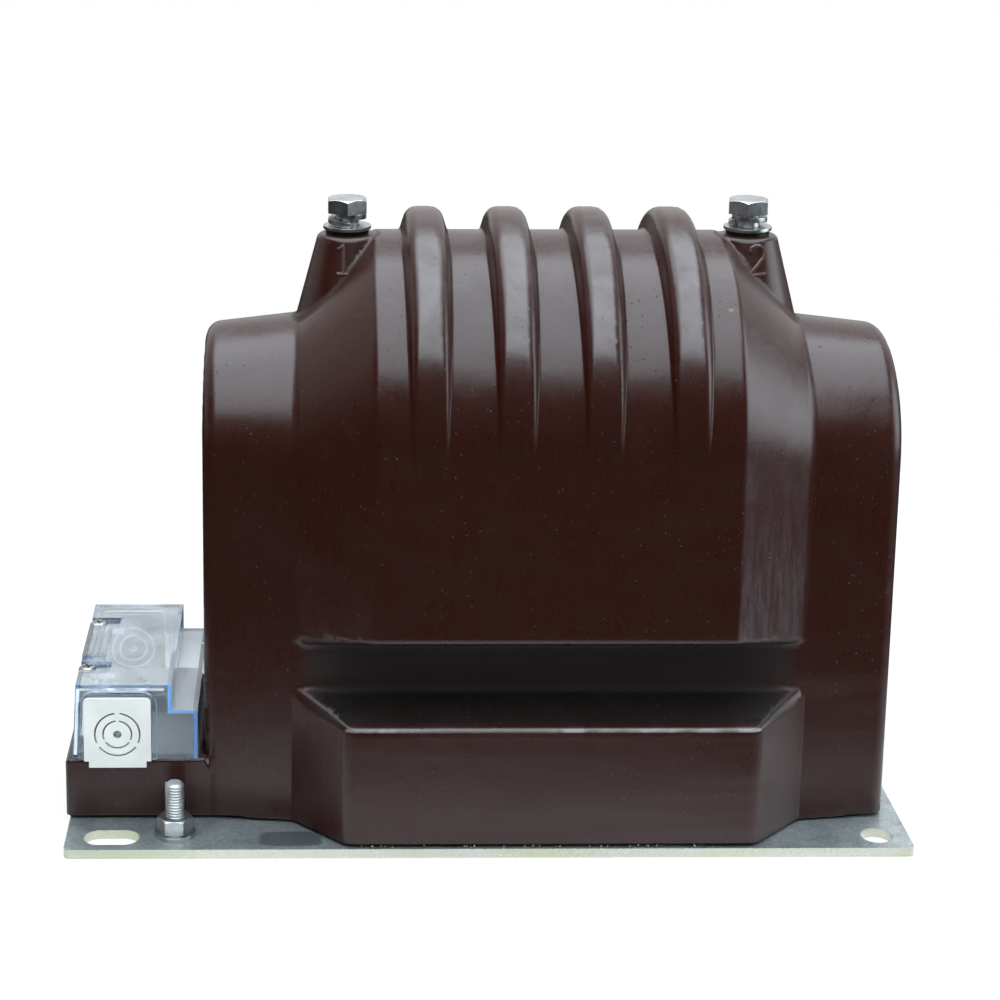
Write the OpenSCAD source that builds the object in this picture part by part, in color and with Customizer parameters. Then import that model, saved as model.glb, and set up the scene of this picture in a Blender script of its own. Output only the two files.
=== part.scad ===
// Cast resin voltage transformer with two high voltage terminals.
// X runs along the base plate, Y from front to back, Z up from the plate's underside.
// The origin is the middle of the plate's underside.

/* [Base plate] */
// Length of the base plate
plate_l = 350; // [330:1:380]
// Depth of the base plate
plate_d = 148; // [146:1:160]
// Thickness of the base plate
plate_t = 4; // [4:0.5:6]
// Radius of the plate's corners
plate_corner = 2.5; // [1:0.5:6]
// Diameter of the fixing holes
fix_hole_d = 13; // [10:0.5:14]
// Distance of the round fixing holes from the middle of the plate
fix_hole_x = 161.5; // [158:0.5:163]
// Distance of the fixing slots from the middle of the plate
fix_slot_x = 156; // [152:0.5:158]
// Length of the fixing slots
fix_slot_l = 23; // [18:1:26]
// Distance between the front and the rear fixing holes
fix_pitch_y = 126; // [120:1:130]

/* [Resin casting] */
// Middle of the casting along the plate
cast_x = 25; // [23:0.5:26]
// Length of the casting over its ends
cast_l = 287; // [283:1:290]
// Gap between the plate and the underside of the resin
cast_gap = 1; // [0.5:0.5:2]
// Half depth of the casting next to the coil housing
barrel_y = 50.5; // [49.5:0.5:52]
// Half depth of the casting at its ends
end_y = 46; // [44:0.5:48]
// Height of the axis of the arched ends
barrel_z = 160.5; // [158:0.5:165]
// Half depth of the coil housing
coil_y = 73.5; // [72:0.5:73.5]
// Height of the axis of the coil housing's arch
coil_z = 173; // [169:0.5:174]
// Half length of the coil housing's front face
coil_front_x = 73; // [70:1:76]
// Half length of the coil housing where its flanks meet the ends
coil_flank_x = 105; // [103:1:107]
// Height of the lower lip of the coil housing
coil_lip_z = 92.5; // [90:0.5:95]
// Half length of the foot's front face
foot_x = 83.5; // [81:0.5:86]
// Height of the foot's upper front edge
foot_z = 56; // [52:0.5:58]
// Radius of the moulded edges
mould_r = 3; // [3:0.5:5]

/* [Ribs] */
// Number of ribs over the arch
rib_count = 4; // [2:1:4]
// Distance between the ribs
rib_pitch = 34.5; // [32:0.5:36]
// Height of the ribs over the top of the arch
rib_rise = 10; // [8:0.5:12]
// Width of a rib at its root
rib_root = 20; // [17:0.5:22]

/* [High voltage terminals] */
// Distance of each terminal from the middle of the casting
hv_x = 84; // [82:0.5:86]
// Height of the top of the terminal pillars
pillar_z = 246.5; // [242:0.5:248]
// Radius of a pillar at its top
pillar_r = 12.2; // [11:0.1:13]
// Height of a terminal insert over its pillar
hv_proud = 2; // [1:0.5:2]

/* [Earth stud] */
// Place of the earth stud along the plate
earth_x = -130; // [-132:1:-128]
// Place of the earth stud across the plate
earth_y = -59.5; // [-61:0.5:-58]
// Height of the top of the earth stud
earth_z = 27; // [24:1:32]

/* [Low voltage terminals] */
// Left face of the resin ledge
ledge_x = -176.5; // [-177:0.5:-175]
// Height of the ledge
ledge_z = 31; // [28:0.5:33]
// Height of the terminal cover's top
cover_z = 64; // [60:0.5:68]
// Height of the terminal cover's lower step
cover_step_z = 52.5; // [50:0.5:55]
// Length of the terminal cover from front to back
cover_l = 91; // [88:1:92]
// Wall thickness of the terminal cover
cover_wall = 2; // [1.6:0.2:2.4]
// Middle of the cable gland plates along X
gland_x = -154.3; // [-156:0.1:-153]

/* [Hidden] */
$fn = 64;

// Colours of the materials
resin_brown = [0.20, 0.11, 0.10];
zinc = [0.75, 0.77, 0.74];
steel = [0.62, 0.63, 0.62];
brass = [0.78, 0.62, 0.30];
copper = [0.72, 0.42, 0.25];
board = [0.85, 0.78, 0.6];
clear_blue = [0.75, 0.85, 0.95, 0.45];
white_plastic = [0.93, 0.94, 0.93];
grey_plastic = [0.62, 0.65, 0.67];

cast_z = plate_t + cast_gap;
recess_slope = 0.36;
under_z = 60;
bend = 5;
seam = 0.15;
flank_run = coil_flank_x - coil_front_x;
side_y = plate_d / 2;
high = 300;

// Core: two C halves round a window, with its upper limb through the windings
core_half_x = 128;
core_build = 34;
core_depth = 44;
core_bottom_z = 14;
core_top_z = 182;
core_joint_z = 98;
core_corner = 14;
band_t = 0.8;
band_w = 20;
limb_z = core_top_z - core_build / 2;
tube_wall = 3;
tube_half_x = 58;
lv_build = 6;
lv_half_x = 54;
hv_coil_half_x = 50;
hv_coil_r0 = 40;
hv_coil_r1 = 58;

// Inserts and screws
base_fix_x = 70;
base_fix_y = 52;
base_insert_r = 7;
base_insert_h = 20;
m8_r = 4;
m8_mid_r = 3.6;
m10_r = 5;
csk_r = 7.9;
hv_insert_r = 9;
hv_insert_h = 28;
hv_seat_z = pillar_z + hv_proud;
hv_lead_z = limb_z + 50;
washer_t = 1.5;
spring_h = 5.5;
hv_head_z = hv_seat_z + washer_t + spring_h;
earth_washer_t = 1.6;
earth_flange_r = 5.5;
earth_flange_t = 1.8;
earth_neck_r = 4.25;
earth_nut_h = 6.5;

// Low voltage terminals: two rows of two under the front of the cover
lv_row_x = [-148, -162];
lv_row_y = [26.5, 29.8];
lv_row_z = [158, 172];
lv_drop_x = [-131.5, -135.5];
lv_term_y = 9;
lv_lead_r = 1.2;
lv_low_z = 12;
lv_insert_r = 5;
lv_insert_z = 16;
lv_seat_z = 34;
m5_r = 2.5;
tray_t = 2;
tray_play = 0.3;
cover_left_x = -173.4;
cover_lean = 1.8;
cover_high_x = -131.8;
cover_right_x = -121;
cover_screw_x = -168.5;
cover_screw_y = 25;
cover_notch_z = 61;
cover_notch_x = -158.5;
cover_notch_w = 9;
cover_frame_t = 1.5;
cover_frame_w = 3.2;
gland_open_w = 26;
gland_open_h = 27;
cover_insert_r = 3.5;
cover_insert_z = 19;
m4_r = 2;
gland_z = 43;
gland_w = 28;

// A corner of an outline: centre of its arc and the two directions that bound it
function unit(v) = v / norm(v);
function arc_corner(a, b, c, r, n) =
    let (u = unit(a - b), v = unit(c - b), half = acos(u * v) / 2,
         centre = b + unit(u + v) * r / sin(half), t0 = b + u * r / tan(half),
         t1 = b + v * r / tan(half), a0 = atan2((t0 - centre).y, (t0 - centre).x),
         turn = atan2((t1 - centre).y, (t1 - centre).x) - a0,
         sweep = turn > 180 ? turn - 360 : turn < -180 ? turn + 360 : turn)
    [for (i = [0 : n]) centre + r * [cos(a0 + sweep * i / n), sin(a0 + sweep * i / n)]];

// An outline given as [x, y, corner radius], with round corners as arcs
function rounded(p, n = 5) = [for (i = [0 : len(p) - 1])
    let (a = p[(i + len(p) - 1) % len(p)], b = p[i], c = p[(i + 1) % len(p)])
    each b.z > 0 ? arc_corner([a.x, a.y], [b.x, b.y], [c.x, c.y], b.z, n) : [[b.x, b.y]]];

// A rectangle centred on x and y with round corners
function round_rect(w, h, r) = rounded([[-w / 2, -h / 2, r], [w / 2, -h / 2, r],
    [w / 2, h / 2, r], [-w / 2, h / 2, r]]);

// Extrudes a YZ outline along X, centred
module along_x(length) {
    rotate([90, 0, 90]) linear_extrude(length, center = true) children();
}

// Extrudes an XZ outline along Y, centred
module along_y(length) {
    rotate([90, 0, 0]) linear_extrude(length, center = true) children();
}

module hexagon_prism(af, h) {
    cylinder(h = h, r = af / sqrt(3), $fn = 6);
}

// A hexagon with its corners turned to a cone at the chosen faces
module hexagon(af, h, chamfer_low = true, chamfer_high = true) {
    r0 = af / 2 * 0.97;
    r1 = af / sqrt(3) + 0.01;
    c = (r1 - r0) * 0.55;
    intersection() {
        hexagon_prism(af, h);
        rotate_extrude() polygon([[0, 0], [chamfer_low ? r0 : r1, 0], [r1, chamfer_low ? c : 0],
            [r1, h - (chamfer_high ? c : 0)], [chamfer_high ? r0 : r1, h], [0, h]]);
    }
}

module ring(r0, r1, h) {
    rotate_extrude() translate([r0, 0]) square([r1 - r0, h]);
}

// One open left-handed turn of square wire, from z = 0 to z = height, with its gap on the X axis
module spring_washer(r0, r1, wire_h, height) {
    steps = 36;
    gap = 14;
    function section(i) = let (a = -gap / 2 - (360 - gap) * i / steps,
                               z = (height - wire_h) * i / steps)
        [for (q = [[r1, 0], [r0, 0], [r0, wire_h], [r1, wire_h]])
            [q.x * cos(a), q.x * sin(a), z + q.y]];
    points = [for (i = [0 : steps]) each section(i)];
    sides = [for (i = [0 : steps - 1], k = [0 : 3])
        [4 * i + k, 4 * i + (k + 1) % 4, 4 * i + 4 + (k + 1) % 4, 4 * i + 4 + k]];
    polyhedron(points, concat([[3, 2, 1, 0]], sides, [[for (k = [0 : 3]) 4 * steps + k]]),
        convexity = 4);
}

// A round wire through a list of points
module wire(path, r) {
    for (i = [0 : len(path) - 2]) {
        d = path[i + 1] - path[i];
        translate(path[i]) rotate([0, acos(d.z / norm(d)), atan2(d.y, d.x)])
            cylinder(h = norm(d), r = r);
    }
    for (i = [1 : 1 : len(path) - 2]) translate(path[i]) sphere(r, $fn = 24);
}

// Base plate
module slot(x, y) {
    straight = fix_slot_l - fix_hole_d;
    for (s = [-1, 1]) translate([x + s * straight / 2, y, -1])
        cylinder(h = plate_t + 2, d = fix_hole_d);
    translate([x - straight / 2, y - fix_hole_d / 2, -1]) cube([straight, fix_hole_d, plate_t + 2]);
}

module base_plate() {
    color(zinc) difference() {
        linear_extrude(plate_t) polygon(round_rect(plate_l, plate_d, plate_corner));
        for (s = [-1, 1]) {
            slot(-fix_slot_x, s * fix_pitch_y / 2);
            translate([fix_hole_x, s * fix_pitch_y / 2, -1])
                cylinder(h = plate_t + 2, d = fix_hole_d);
        }
        translate([earth_x, earth_y, -1]) cylinder(h = plate_t + 2, r = earth_neck_r);
        translate([earth_x, earth_y, -1]) cylinder(h = 1 + earth_flange_t, r = earth_flange_r);
        for (k = [1 : 4]) base_place(k) countersink();
    }
}

module base_place(k) {
    translate([cast_x + (k % 2 == 0 ? 1 : -1) * base_fix_x, (k > 2 ? 1 : -1) * base_fix_y, 0])
        children();
}

module countersink() {
    rotate_extrude() polygon([[0, -1], [csk_r, -1], [csk_r, 0], [m8_r, csk_r - m8_r],
        [m8_r, plate_t + 1], [0, plate_t + 1]]);
}

// Resin casting
function barrel_outline() = let (e = cast_l / 2, r = mould_r + 2)
    [for (s = [-1, 1]) each
        let (half = concat([[coil_flank_x, barrel_y]],
                arc_corner([coil_flank_x, barrel_y], [e, end_y], [e, 0], r, 6)))
        [for (i = [0 : len(half) - 1]) let (p = half[s > 0 ? i : len(half) - 1 - i])
            [s * p.x, p.y]]];

// The arched body: a lathe-turned top on straight walls
module barrel() {
    half = barrel_outline();
    top = [for (p = half) [p.y, p.x]];
    e = cast_l / 2;
    translate([0, 0, barrel_z]) rotate([0, 90, 0])
        rotate_extrude() polygon(concat([[0, -e]], top, [[0, e]]));
    translate([0, 0, cast_z]) linear_extrude(barrel_z - cast_z)
        polygon(concat(half, [for (i = [len(half) - 1 : -1 : 0]) [half[i].x, -half[i].y]]));
}

// One slice of the housing's end; t is 0 at its front face and 1 where it meets the end section
module coil_slice(x, t) {
    r = coil_y - seam + (barrel_y - coil_y) * t;
    z = coil_z + (barrel_z - coil_z) * t;
    n = 40;
    translate([x, 0, 0]) rotate([90, 0, 90]) linear_extrude(0.01)
        polygon(concat([[r, under_z]],
            [for (i = [0 : n]) [r * cos(180 * i / n), z + r * sin(180 * i / n)]], [[-r, under_z]]));
}

// The housing seen from its end, below the arch, with its undercut and lips
module coil_profile(top_z) {
    back_z = coil_lip_z - recess_slope * (coil_y - 20);
    polygon(rounded([[-coil_y, top_z, 0], [-coil_y, coil_lip_z, mould_r], [-20, back_z, 0],
        [20, back_z, 0], [coil_y, coil_lip_z, mould_r], [coil_y, top_z, 0]]));
}

// The flank starts with a soft bend and then runs straight down to the end section
function flank(x) = x > coil_front_x + bend ? (x - coil_front_x) / flank_run
    : pow(x - coil_front_x + bend, 2) / (4 * bend * flank_run);

module coil_housing() {
    stops = [-bend, -bend / 2, 0, bend / 2, bend, flank_run];
    along_x(2 * (coil_front_x - bend)) {
        translate([0, coil_z]) circle(coil_y);
        coil_profile(coil_z);
    }
    intersection() {
        for (s = [0, 1]) mirror([s, 0, 0]) hull() for (d = stops)
            coil_slice(coil_front_x + d - (d < 0 ? seam : 0), flank(coil_front_x + d));
        along_x(2 * coil_flank_x + 2) coil_profile(high);
    }
}

module foot() {
    corner_x = foot_x + coil_y - barrel_y;
    top_z = foot_z + recess_slope * (coil_y - 20);
    intersection() {
        translate([0, 0, cast_z]) linear_extrude(high) polygon(rounded([
            [-foot_x, -coil_y, mould_r], [foot_x, -coil_y, mould_r], [corner_x, -barrel_y, 0],
            [corner_x, barrel_y, 0], [foot_x, coil_y, mould_r], [-foot_x, coil_y, mould_r],
            [-corner_x, barrel_y, 0], [-corner_x, -barrel_y, 0]]));
        along_x(2 * corner_x + 2) polygon(rounded([[-coil_y, 0, 0], [coil_y, 0, 0],
            [coil_y, foot_z, mould_r], [20, top_z, 0], [-20, top_z, 0],
            [-coil_y, foot_z, mould_r]]));
    }
}

// A rib is a disc of the arch's own radius, lifted so that it fades into the front face
module rib() {
    r = coil_y + 1;
    top = rib_root / 2 - 3.2;
    edge = 3.5;
    translate([0, 0, coil_z + rib_rise - 1]) rotate([0, 90, 0]) rotate_extrude($fn = 128)
        polygon(concat([[0, -rib_root / 2], [r - rib_rise, -rib_root / 2]],
            arc_corner([r - rib_rise, -rib_root / 2], [r, -top], [r, 0], edge, 5),
            arc_corner([r, 0], [r, top], [r - rib_rise, rib_root / 2], edge, 5),
            [[r - rib_rise, rib_root / 2], [0, rib_root / 2]]));
}

module pillar() {
    root_z = 200;
    spread = 0.262;
    root_r = pillar_r + spread * (pillar_z - root_z);
    rotate_extrude() polygon(concat([[0, root_z], [root_r, root_z]],
        arc_corner([root_r, root_z], [pillar_r, pillar_z], [0, pillar_z], 2.5, 5),
        [[0, pillar_z]]));
}

module ledge() {
    right_x = cast_x - cast_l / 2 + 8;
    intersection() {
        translate([0, 0, cast_z]) linear_extrude(ledge_z - cast_z) polygon(rounded([
            [ledge_x, -end_y, 2], [right_x, -end_y, 0], [right_x, end_y, 0], [ledge_x, end_y, 2]]));
        along_y(2 * side_y) polygon(rounded([[ledge_x, high, 0], [ledge_x, cast_z + 2, 0],
            [ledge_x + 2, cast_z, 0], [right_x, cast_z, 0], [right_x, high, 0]]));
    }
}

module resin_casting() {
    color(resin_brown) difference() {
        union() {
            translate([cast_x, 0, 0]) {
                barrel();
                coil_housing();
                foot();
                for (i = [0 : rib_count - 1])
                    translate([(i - (rib_count - 1) / 2) * rib_pitch, 0, 0]) rib();
                for (s = [-1, 1]) translate([s * hv_x, 0, 0]) pillar();
            }
            ledge();
        }
        core_space();
        winding_space();
        for (s = [-1, 1]) {
            hv_insert_outer(s);
            hv_lead(s);
            cover_insert_outer(s);
        }
        for (k = [1 : 4]) {
            base_insert_outer(k);
            lv_insert_outer(k);
            lv_lead(k);
        }
    }
}

// Magnetic core
module core_outline(grow) {
    h = core_top_z - core_bottom_z;
    translate([0, (core_top_z + core_bottom_z) / 2])
        polygon(round_rect(2 * core_half_x + 2 * grow, h + 2 * grow, core_corner + grow));
}

module core_ring() {
    h = core_top_z - core_bottom_z - 2 * core_build;
    translate([cast_x, 0, 0]) along_y(core_depth) difference() {
        core_outline(0);
        translate([0, (core_top_z + core_bottom_z) / 2])
            square([2 * (core_half_x - core_build), h], center = true);
    }
}

module core_upper_half() {
    color(steel) intersection() {
        core_ring();
        translate([-high, -high, core_joint_z]) cube([2 * high, 2 * high, high]);
    }
}

module core_lower_half() {
    color(steel) intersection() {
        core_ring();
        translate([-high, -high, core_joint_z - high]) cube([2 * high, 2 * high, high]);
    }
}

module core_band() {
    color(zinc) translate([cast_x, 0, 0]) along_y(band_w) difference() {
        core_outline(band_t);
        core_outline(0);
    }
}

module core_space() {
    core_ring();
    core_band();
}

// Windings
module limb_box(half_x, grow) {
    translate([cast_x - half_x, -core_depth / 2 - grow, limb_z - core_build / 2 - grow])
        cube([2 * half_x, core_depth + 2 * grow, core_build + 2 * grow]);
}

// The tube's bore has a groove at the top for the band
module winding_tube() {
    color(board) difference() {
        limb_box(tube_half_x, tube_wall);
        limb_box(tube_half_x + 1, 0);
        core_band();
    }
}

module lv_coil_outer() {
    w = core_depth + 2 * (tube_wall + lv_build);
    h = core_build + 2 * (tube_wall + lv_build);
    translate([cast_x, 0, limb_z]) along_x(2 * lv_half_x) polygon(round_rect(w, h, lv_build));
}

module low_voltage_winding() {
    color(copper) difference() {
        lv_coil_outer();
        limb_box(tube_half_x + 1, tube_wall);
    }
}

module high_voltage_winding() {
    color(copper) translate([cast_x - hv_coil_half_x, 0, limb_z]) rotate([0, 90, 0])
        ring(hv_coil_r0, hv_coil_r1, 2 * hv_coil_half_x);
}

module winding_space() {
    limb_box(tube_half_x, tube_wall);
    lv_coil_outer();
    high_voltage_winding();
}

// High voltage terminals; s is -1 for the left one and 1 for the right one
module hv_place(s) {
    translate([cast_x + s * hv_x, 0, hv_seat_z]) children();
}

module hv_lead(s) {
    lead_r = 1.5;
    color(copper) wire([[cast_x + s * hv_coil_half_x, 0, hv_lead_z],
        [cast_x + s * hv_x, 0, hv_lead_z],
        [cast_x + s * hv_x, 0, hv_seat_z - hv_insert_h]], lead_r);
}

// The insert's outer form, with two grooves that the resin grips
module hv_insert_outer(s) {
    r = hv_insert_r;
    h = hv_insert_h;
    hv_place(s) translate([0, 0, -h]) rotate_extrude() polygon([[0, 0], [r, 0], [r, 5],
        [r - 1, 5], [r - 1, 8], [r, 8], [r, 13], [r - 1, 13], [r - 1, 16], [r, 16], [r, h], [0, h]]);
}

module hv_insert(s) {
    bore = 22;
    color(brass) difference() {
        hv_insert_outer(s);
        hv_place(s) translate([0, 0, -bore]) cylinder(h = bore + 1, r = m10_r);
    }
}

module hv_bolt(s) {
    head_turn = s > 0 ? 19 : 30;
    color(zinc) hv_place(s) translate([0, 0, hv_head_z - hv_seat_z]) {
        rotate([0, 0, head_turn]) hexagon(16, 6, false, true);
        translate([0, 0, -25]) cylinder(h = 25.5, r = m10_r - 0.05);
    }
}

module hv_spring_washer(s) {
    gap_turn = s > 0 ? 195 : 285;
    color(steel) hv_place(s) translate([0, 0, washer_t]) rotate([0, 0, gap_turn])
        spring_washer(5.2, 8, 2.2, spring_h);
}

module hv_flat_washer(s) {
    color(zinc) hv_place(s) ring(5.25, 10, washer_t);
}

// Earth stud
// The stud is clinched in the plate; inside the nut it has the threads' middle radius
module earth_stud() {
    nut_top = plate_t + earth_washer_t + earth_nut_h;
    color(zinc) translate([earth_x, earth_y, 0]) rotate_extrude() polygon([[0, 0],
        [earth_flange_r, 0], [earth_flange_r, earth_flange_t], [earth_neck_r, earth_flange_t],
        [earth_neck_r, plate_t], [m8_mid_r, plate_t], [m8_mid_r, nut_top], [m8_r, nut_top],
        [m8_r, earth_z - 0.8], [m8_r - 0.8, earth_z], [0, earth_z]]);
}

module earth_nut() {
    color(steel) translate([earth_x, earth_y, plate_t + earth_washer_t]) difference() {
        hexagon(13, earth_nut_h);
        translate([0, 0, -1]) cylinder(h = earth_nut_h + 2, r = m8_mid_r);
    }
}

module earth_washer() {
    color(zinc) translate([earth_x, earth_y, plate_t]) ring(m8_r + 0.2, 8.6, earth_washer_t);
}

// Low voltage terminals; k runs from 1 to 4
function lv_row(k) = k > 2 ? 1 : 0;
function lv_side(k) = k % 2 == 0 ? 1 : -1;

module lv_place(k, z) {
    translate([lv_row_x[lv_row(k)], lv_side(k) * lv_term_y, z]) children();
}

module lv_lead(k) {
    i = lv_row(k);
    y = lv_side(k) * lv_row_y[i];
    drop_x = cast_x + lv_drop_x[i];
    term_x = lv_row_x[i];
    term_y = lv_side(k) * lv_term_y;
    color(copper) wire([[cast_x - lv_half_x, y, lv_row_z[i]], [drop_x, y, lv_row_z[i]],
        [drop_x, y, lv_low_z], [term_x, y, lv_low_z], [term_x, term_y, lv_low_z],
        [term_x, term_y, lv_insert_z]], lv_lead_r);
}

module lv_insert_outer(k) {
    lv_place(k, lv_insert_z) cylinder(h = lv_seat_z - lv_insert_z, r = lv_insert_r);
}

module lv_insert(k) {
    bore = 12;
    color(brass) difference() {
        lv_insert_outer(k);
        lv_place(k, lv_seat_z - bore) cylinder(h = bore + 1, r = m5_r);
    }
}

module lv_flat_washer(k) {
    color(zinc) lv_place(k, lv_seat_z) ring(2.7, 5, 1);
}

module lv_spring_washer(k) {
    color(steel) lv_place(k, lv_seat_z + 1) spring_washer(2.7, 4.4, 1.2, 2.4);
}

// A pan head screw whose head's underside is at z = 0
module pan_screw(r, head_r, head_h, length) {
    slot_w = head_r * 0.28;
    difference() {
        union() {
            rotate_extrude() polygon(concat([[0, 0], [head_r, 0]],
                arc_corner([head_r, 0], [head_r, head_h], [0, head_h], head_h * 0.6, 5),
                [[0, head_h]]));
            translate([0, 0, -length]) cylinder(h = length + 0.1, r = r);
        }
        for (a = [20, 110]) rotate([0, 0, a])
            translate([-head_r * 0.6, -slot_w / 2, head_h * 0.45])
                cube([head_r * 1.2, slot_w, head_h]);
    }
}

module lv_screw(k) {
    color(zinc) lv_place(k, lv_seat_z + 3.4) pan_screw(m5_r - 0.03, 4.6, 3.4, 12);
}

// Terminal tray with a low barrier between the front and the rear terminals
module terminal_tray() {
    gap = cover_wall + tray_play;
    x0 = cover_left_x + gap;
    x1 = cover_right_x - gap;
    y1 = cover_l / 2 - gap;
    color(grey_plastic) difference() {
        union() {
            translate([x0, -y1, ledge_z]) cube([x1 - x0, 2 * y1, tray_t]);
            translate([x0 + 12, -1, ledge_z]) cube([26, 2, tray_t + 7]);
        }
        for (k = [1 : 4]) lv_place(k, ledge_z - 1) cylinder(h = 9, r = lv_insert_r + 0.2);
        for (s = [-1, 1]) translate([cover_screw_x, s * cover_screw_y, ledge_z - 1])
            cylinder(h = 9, r = cover_insert_r + 0.2);
    }
}

// Terminal cover
function cover_outline(w) = let (lean = cover_lean * (cover_z - ledge_z - w) / (cover_z - ledge_z))
    [[cover_left_x + w, w > 0 ? ledge_z - 1 : ledge_z], [cover_left_x + lean + w, cover_z - w],
     [cover_high_x - w, cover_z - w], [cover_high_x - w, cover_step_z - w],
     [cover_right_x - w, cover_step_z - w], [cover_right_x - w, w > 0 ? ledge_z - 1 : ledge_z]];

// The outline of a gland opening, grown on its sides and top
module gland_opening(w, h, grow, depth) {
    translate([gland_x, 0, 0]) along_y(depth) polygon(rounded([
        [-w / 2 - grow, ledge_z, 0], [w / 2 + grow, ledge_z, 0],
        [w / 2 + grow, ledge_z + h + grow, 3 + grow], [-w / 2 - grow, ledge_z + h + grow, 3 + grow]]));
}

// The pocket that holds a cover screw, with a post under it
module cover_post(s) {
    post_r = 4.5;
    w = cover_notch_w + 2 * cover_wall;
    translate([cover_screw_x, s * cover_screw_y, ledge_z + tray_t])
        cylinder(h = cover_notch_z - ledge_z - tray_t, r = post_r);
    translate([cover_left_x, s * cover_screw_y - w / 2, cover_notch_z - cover_wall])
        cube([cover_notch_x + cover_wall - cover_left_x, w, high]);
}

// The stiff flap between the pockets, with its grip ribs
module cover_flap() {
    flap_y = 17;
    flap_t = 1.2;
    x0 = cover_left_x + cover_lean;
    translate([x0, -flap_y, cover_z - 0.1]) cube([10, 2 * flap_y, flap_t + 0.1]);
    for (i = [0 : 3]) translate([x0 + 1.2 + 2.4 * i, -flap_y + 1, cover_z])
        cube([1, 2 * flap_y - 2, flap_t + 0.6]);
}

module terminal_cover() {
    color(clear_blue) difference() {
        union() {
            difference() {
                union() {
                    along_y(cover_l) polygon(cover_outline(0));
                    gland_opening(gland_open_w, gland_open_h, cover_frame_w,
                        cover_l + 2 * cover_frame_t);
                }
                along_y(cover_l - 2 * cover_wall) polygon(cover_outline(cover_wall));
            }
            for (s = [-1, 1]) intersection() {
                cover_post(s);
                along_y(cover_l) polygon(cover_outline(0));
            }
            cover_flap();
        }
        for (s = [-1, 1]) {
            translate([cover_left_x - 5, s * cover_screw_y - cover_notch_w / 2, cover_notch_z])
                cube([cover_notch_x - cover_left_x + 5, cover_notch_w, high]);
            translate([cover_screw_x, s * cover_screw_y, ledge_z])
                cylinder(h = cover_z, r = m4_r + 0.2);
            translate([0, s * cover_l / 2, -1])
                gland_opening(gland_open_w, gland_open_h + 1, 0, 4 * cover_wall);
        }
    }
}

// Knockout plate that slides up into the opening from below; s is -1 in the front wall
module gland_plate(s) {
    outer_t = 1.5;
    play = 0.2;
    lower = 2.8;
    tab = 12;
    rim = gland_w / 2;
    wall_y = cover_l / 2 + cover_frame_t;
    inner_y = cover_l / 2 - cover_wall - 0.05;
    web_t = wall_y - inner_y;
    inner_z = ledge_z + tray_t + play;
    top_z = ledge_z + gland_open_h + 1;
    color(white_plastic) side(s) difference() {
        union() {
            translate([0, -wall_y - outer_t / 2, 0]) along_y(outer_t) polygon(rounded([
                [gland_x - rim, ledge_z, 0], [gland_x - tab, ledge_z, 0],
                [gland_x - tab, ledge_z - lower, 0], [gland_x + tab, ledge_z - lower, 0],
                [gland_x + tab, ledge_z, 0], [gland_x + rim, ledge_z, 0],
                [gland_x + rim, top_z, 2], [gland_x - rim, top_z, 2]]));
            translate([0, -wall_y + web_t / 2, 0])
                gland_opening(gland_open_w - 2 * play, gland_open_h - play, 0, web_t);
            translate([gland_x - rim, -inner_y, inner_z]) cube([2 * rim, 1.2, top_z - inner_z]);
        }
        translate([gland_x, -wall_y - outer_t - 1, gland_z]) rotate([-90, 0, 0]) {
            cylinder(h = 20, r = 1.7);
            for (k = [0 : 2], r = [5.6, 9]) rotate([0, 0, 120 * k + 36])
                rotate_extrude(angle = 108) translate([r, 0]) square([0.7, 1 + outer_t * 0.8]);
        }
    }
}

// The rear side mirrors the front side
module side(s) {
    if (s < 0) children();
    else mirror([0, 1, 0]) children();
}

module cover_insert_outer(s) {
    translate([cover_screw_x, s * cover_screw_y, cover_insert_z])
        cylinder(h = ledge_z + tray_t - cover_insert_z, r = cover_insert_r);
}

module cover_insert(s) {
    color(brass) difference() {
        cover_insert_outer(s);
        translate([cover_screw_x, s * cover_screw_y, cover_insert_z + 2])
            cylinder(h = high, r = m4_r);
    }
}

module cover_screw(s) {
    color(steel) translate([cover_screw_x, s * cover_screw_y, cover_notch_z])
        pan_screw(m4_r - 0.03, 3.8, 2.8, cover_notch_z - ledge_z + 5);
}

// Fixings of the plate
module base_insert_outer(k) {
    base_place(k) translate([0, 0, plate_t]) cylinder(h = base_insert_h, r = base_insert_r);
}

module base_insert(k) {
    color(brass) difference() {
        base_insert_outer(k);
        base_place(k) cylinder(h = plate_t + 15, r = m8_r);
    }
}

module base_screw(k) {
    socket = 2.5;
    color(zinc) base_place(k) difference() {
        rotate_extrude() polygon([[0, 0], [csk_r, 0], [m8_r, csk_r - m8_r], [m8_r, 16], [0, 16]]);
        translate([0, 0, -1]) hexagon_prism(5, socket + 1);
    }
}

base_plate();
resin_casting();
core_upper_half();
core_lower_half();
core_band();
winding_tube();
low_voltage_winding();
high_voltage_winding();
hv_lead(-1);  // hv_lead_left
hv_lead(1);  // hv_lead_right
hv_insert(-1);  // hv_insert_left
hv_insert(1);  // hv_insert_right
hv_bolt(-1);  // hv_bolt_left
hv_bolt(1);  // hv_bolt_right
hv_spring_washer(-1);  // hv_spring_washer_left
hv_spring_washer(1);  // hv_spring_washer_right
hv_flat_washer(-1);  // hv_flat_washer_left
hv_flat_washer(1);  // hv_flat_washer_right
earth_stud();
earth_nut();
earth_washer();
terminal_tray();
terminal_cover();
gland_plate(-1);  // gland_plate_front
gland_plate(1);  // gland_plate_rear
cover_screw(-1);  // cover_screw_front
cover_screw(1);  // cover_screw_rear
cover_insert(-1);  // cover_insert_front
cover_insert(1);  // cover_insert_rear
for (k = [1 : 4]) {
    base_insert(k);
    base_screw(k);
    lv_insert(k);
    lv_screw(k);
    lv_spring_washer(k);
    lv_flat_washer(k);
    lv_lead(k);
}
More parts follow.
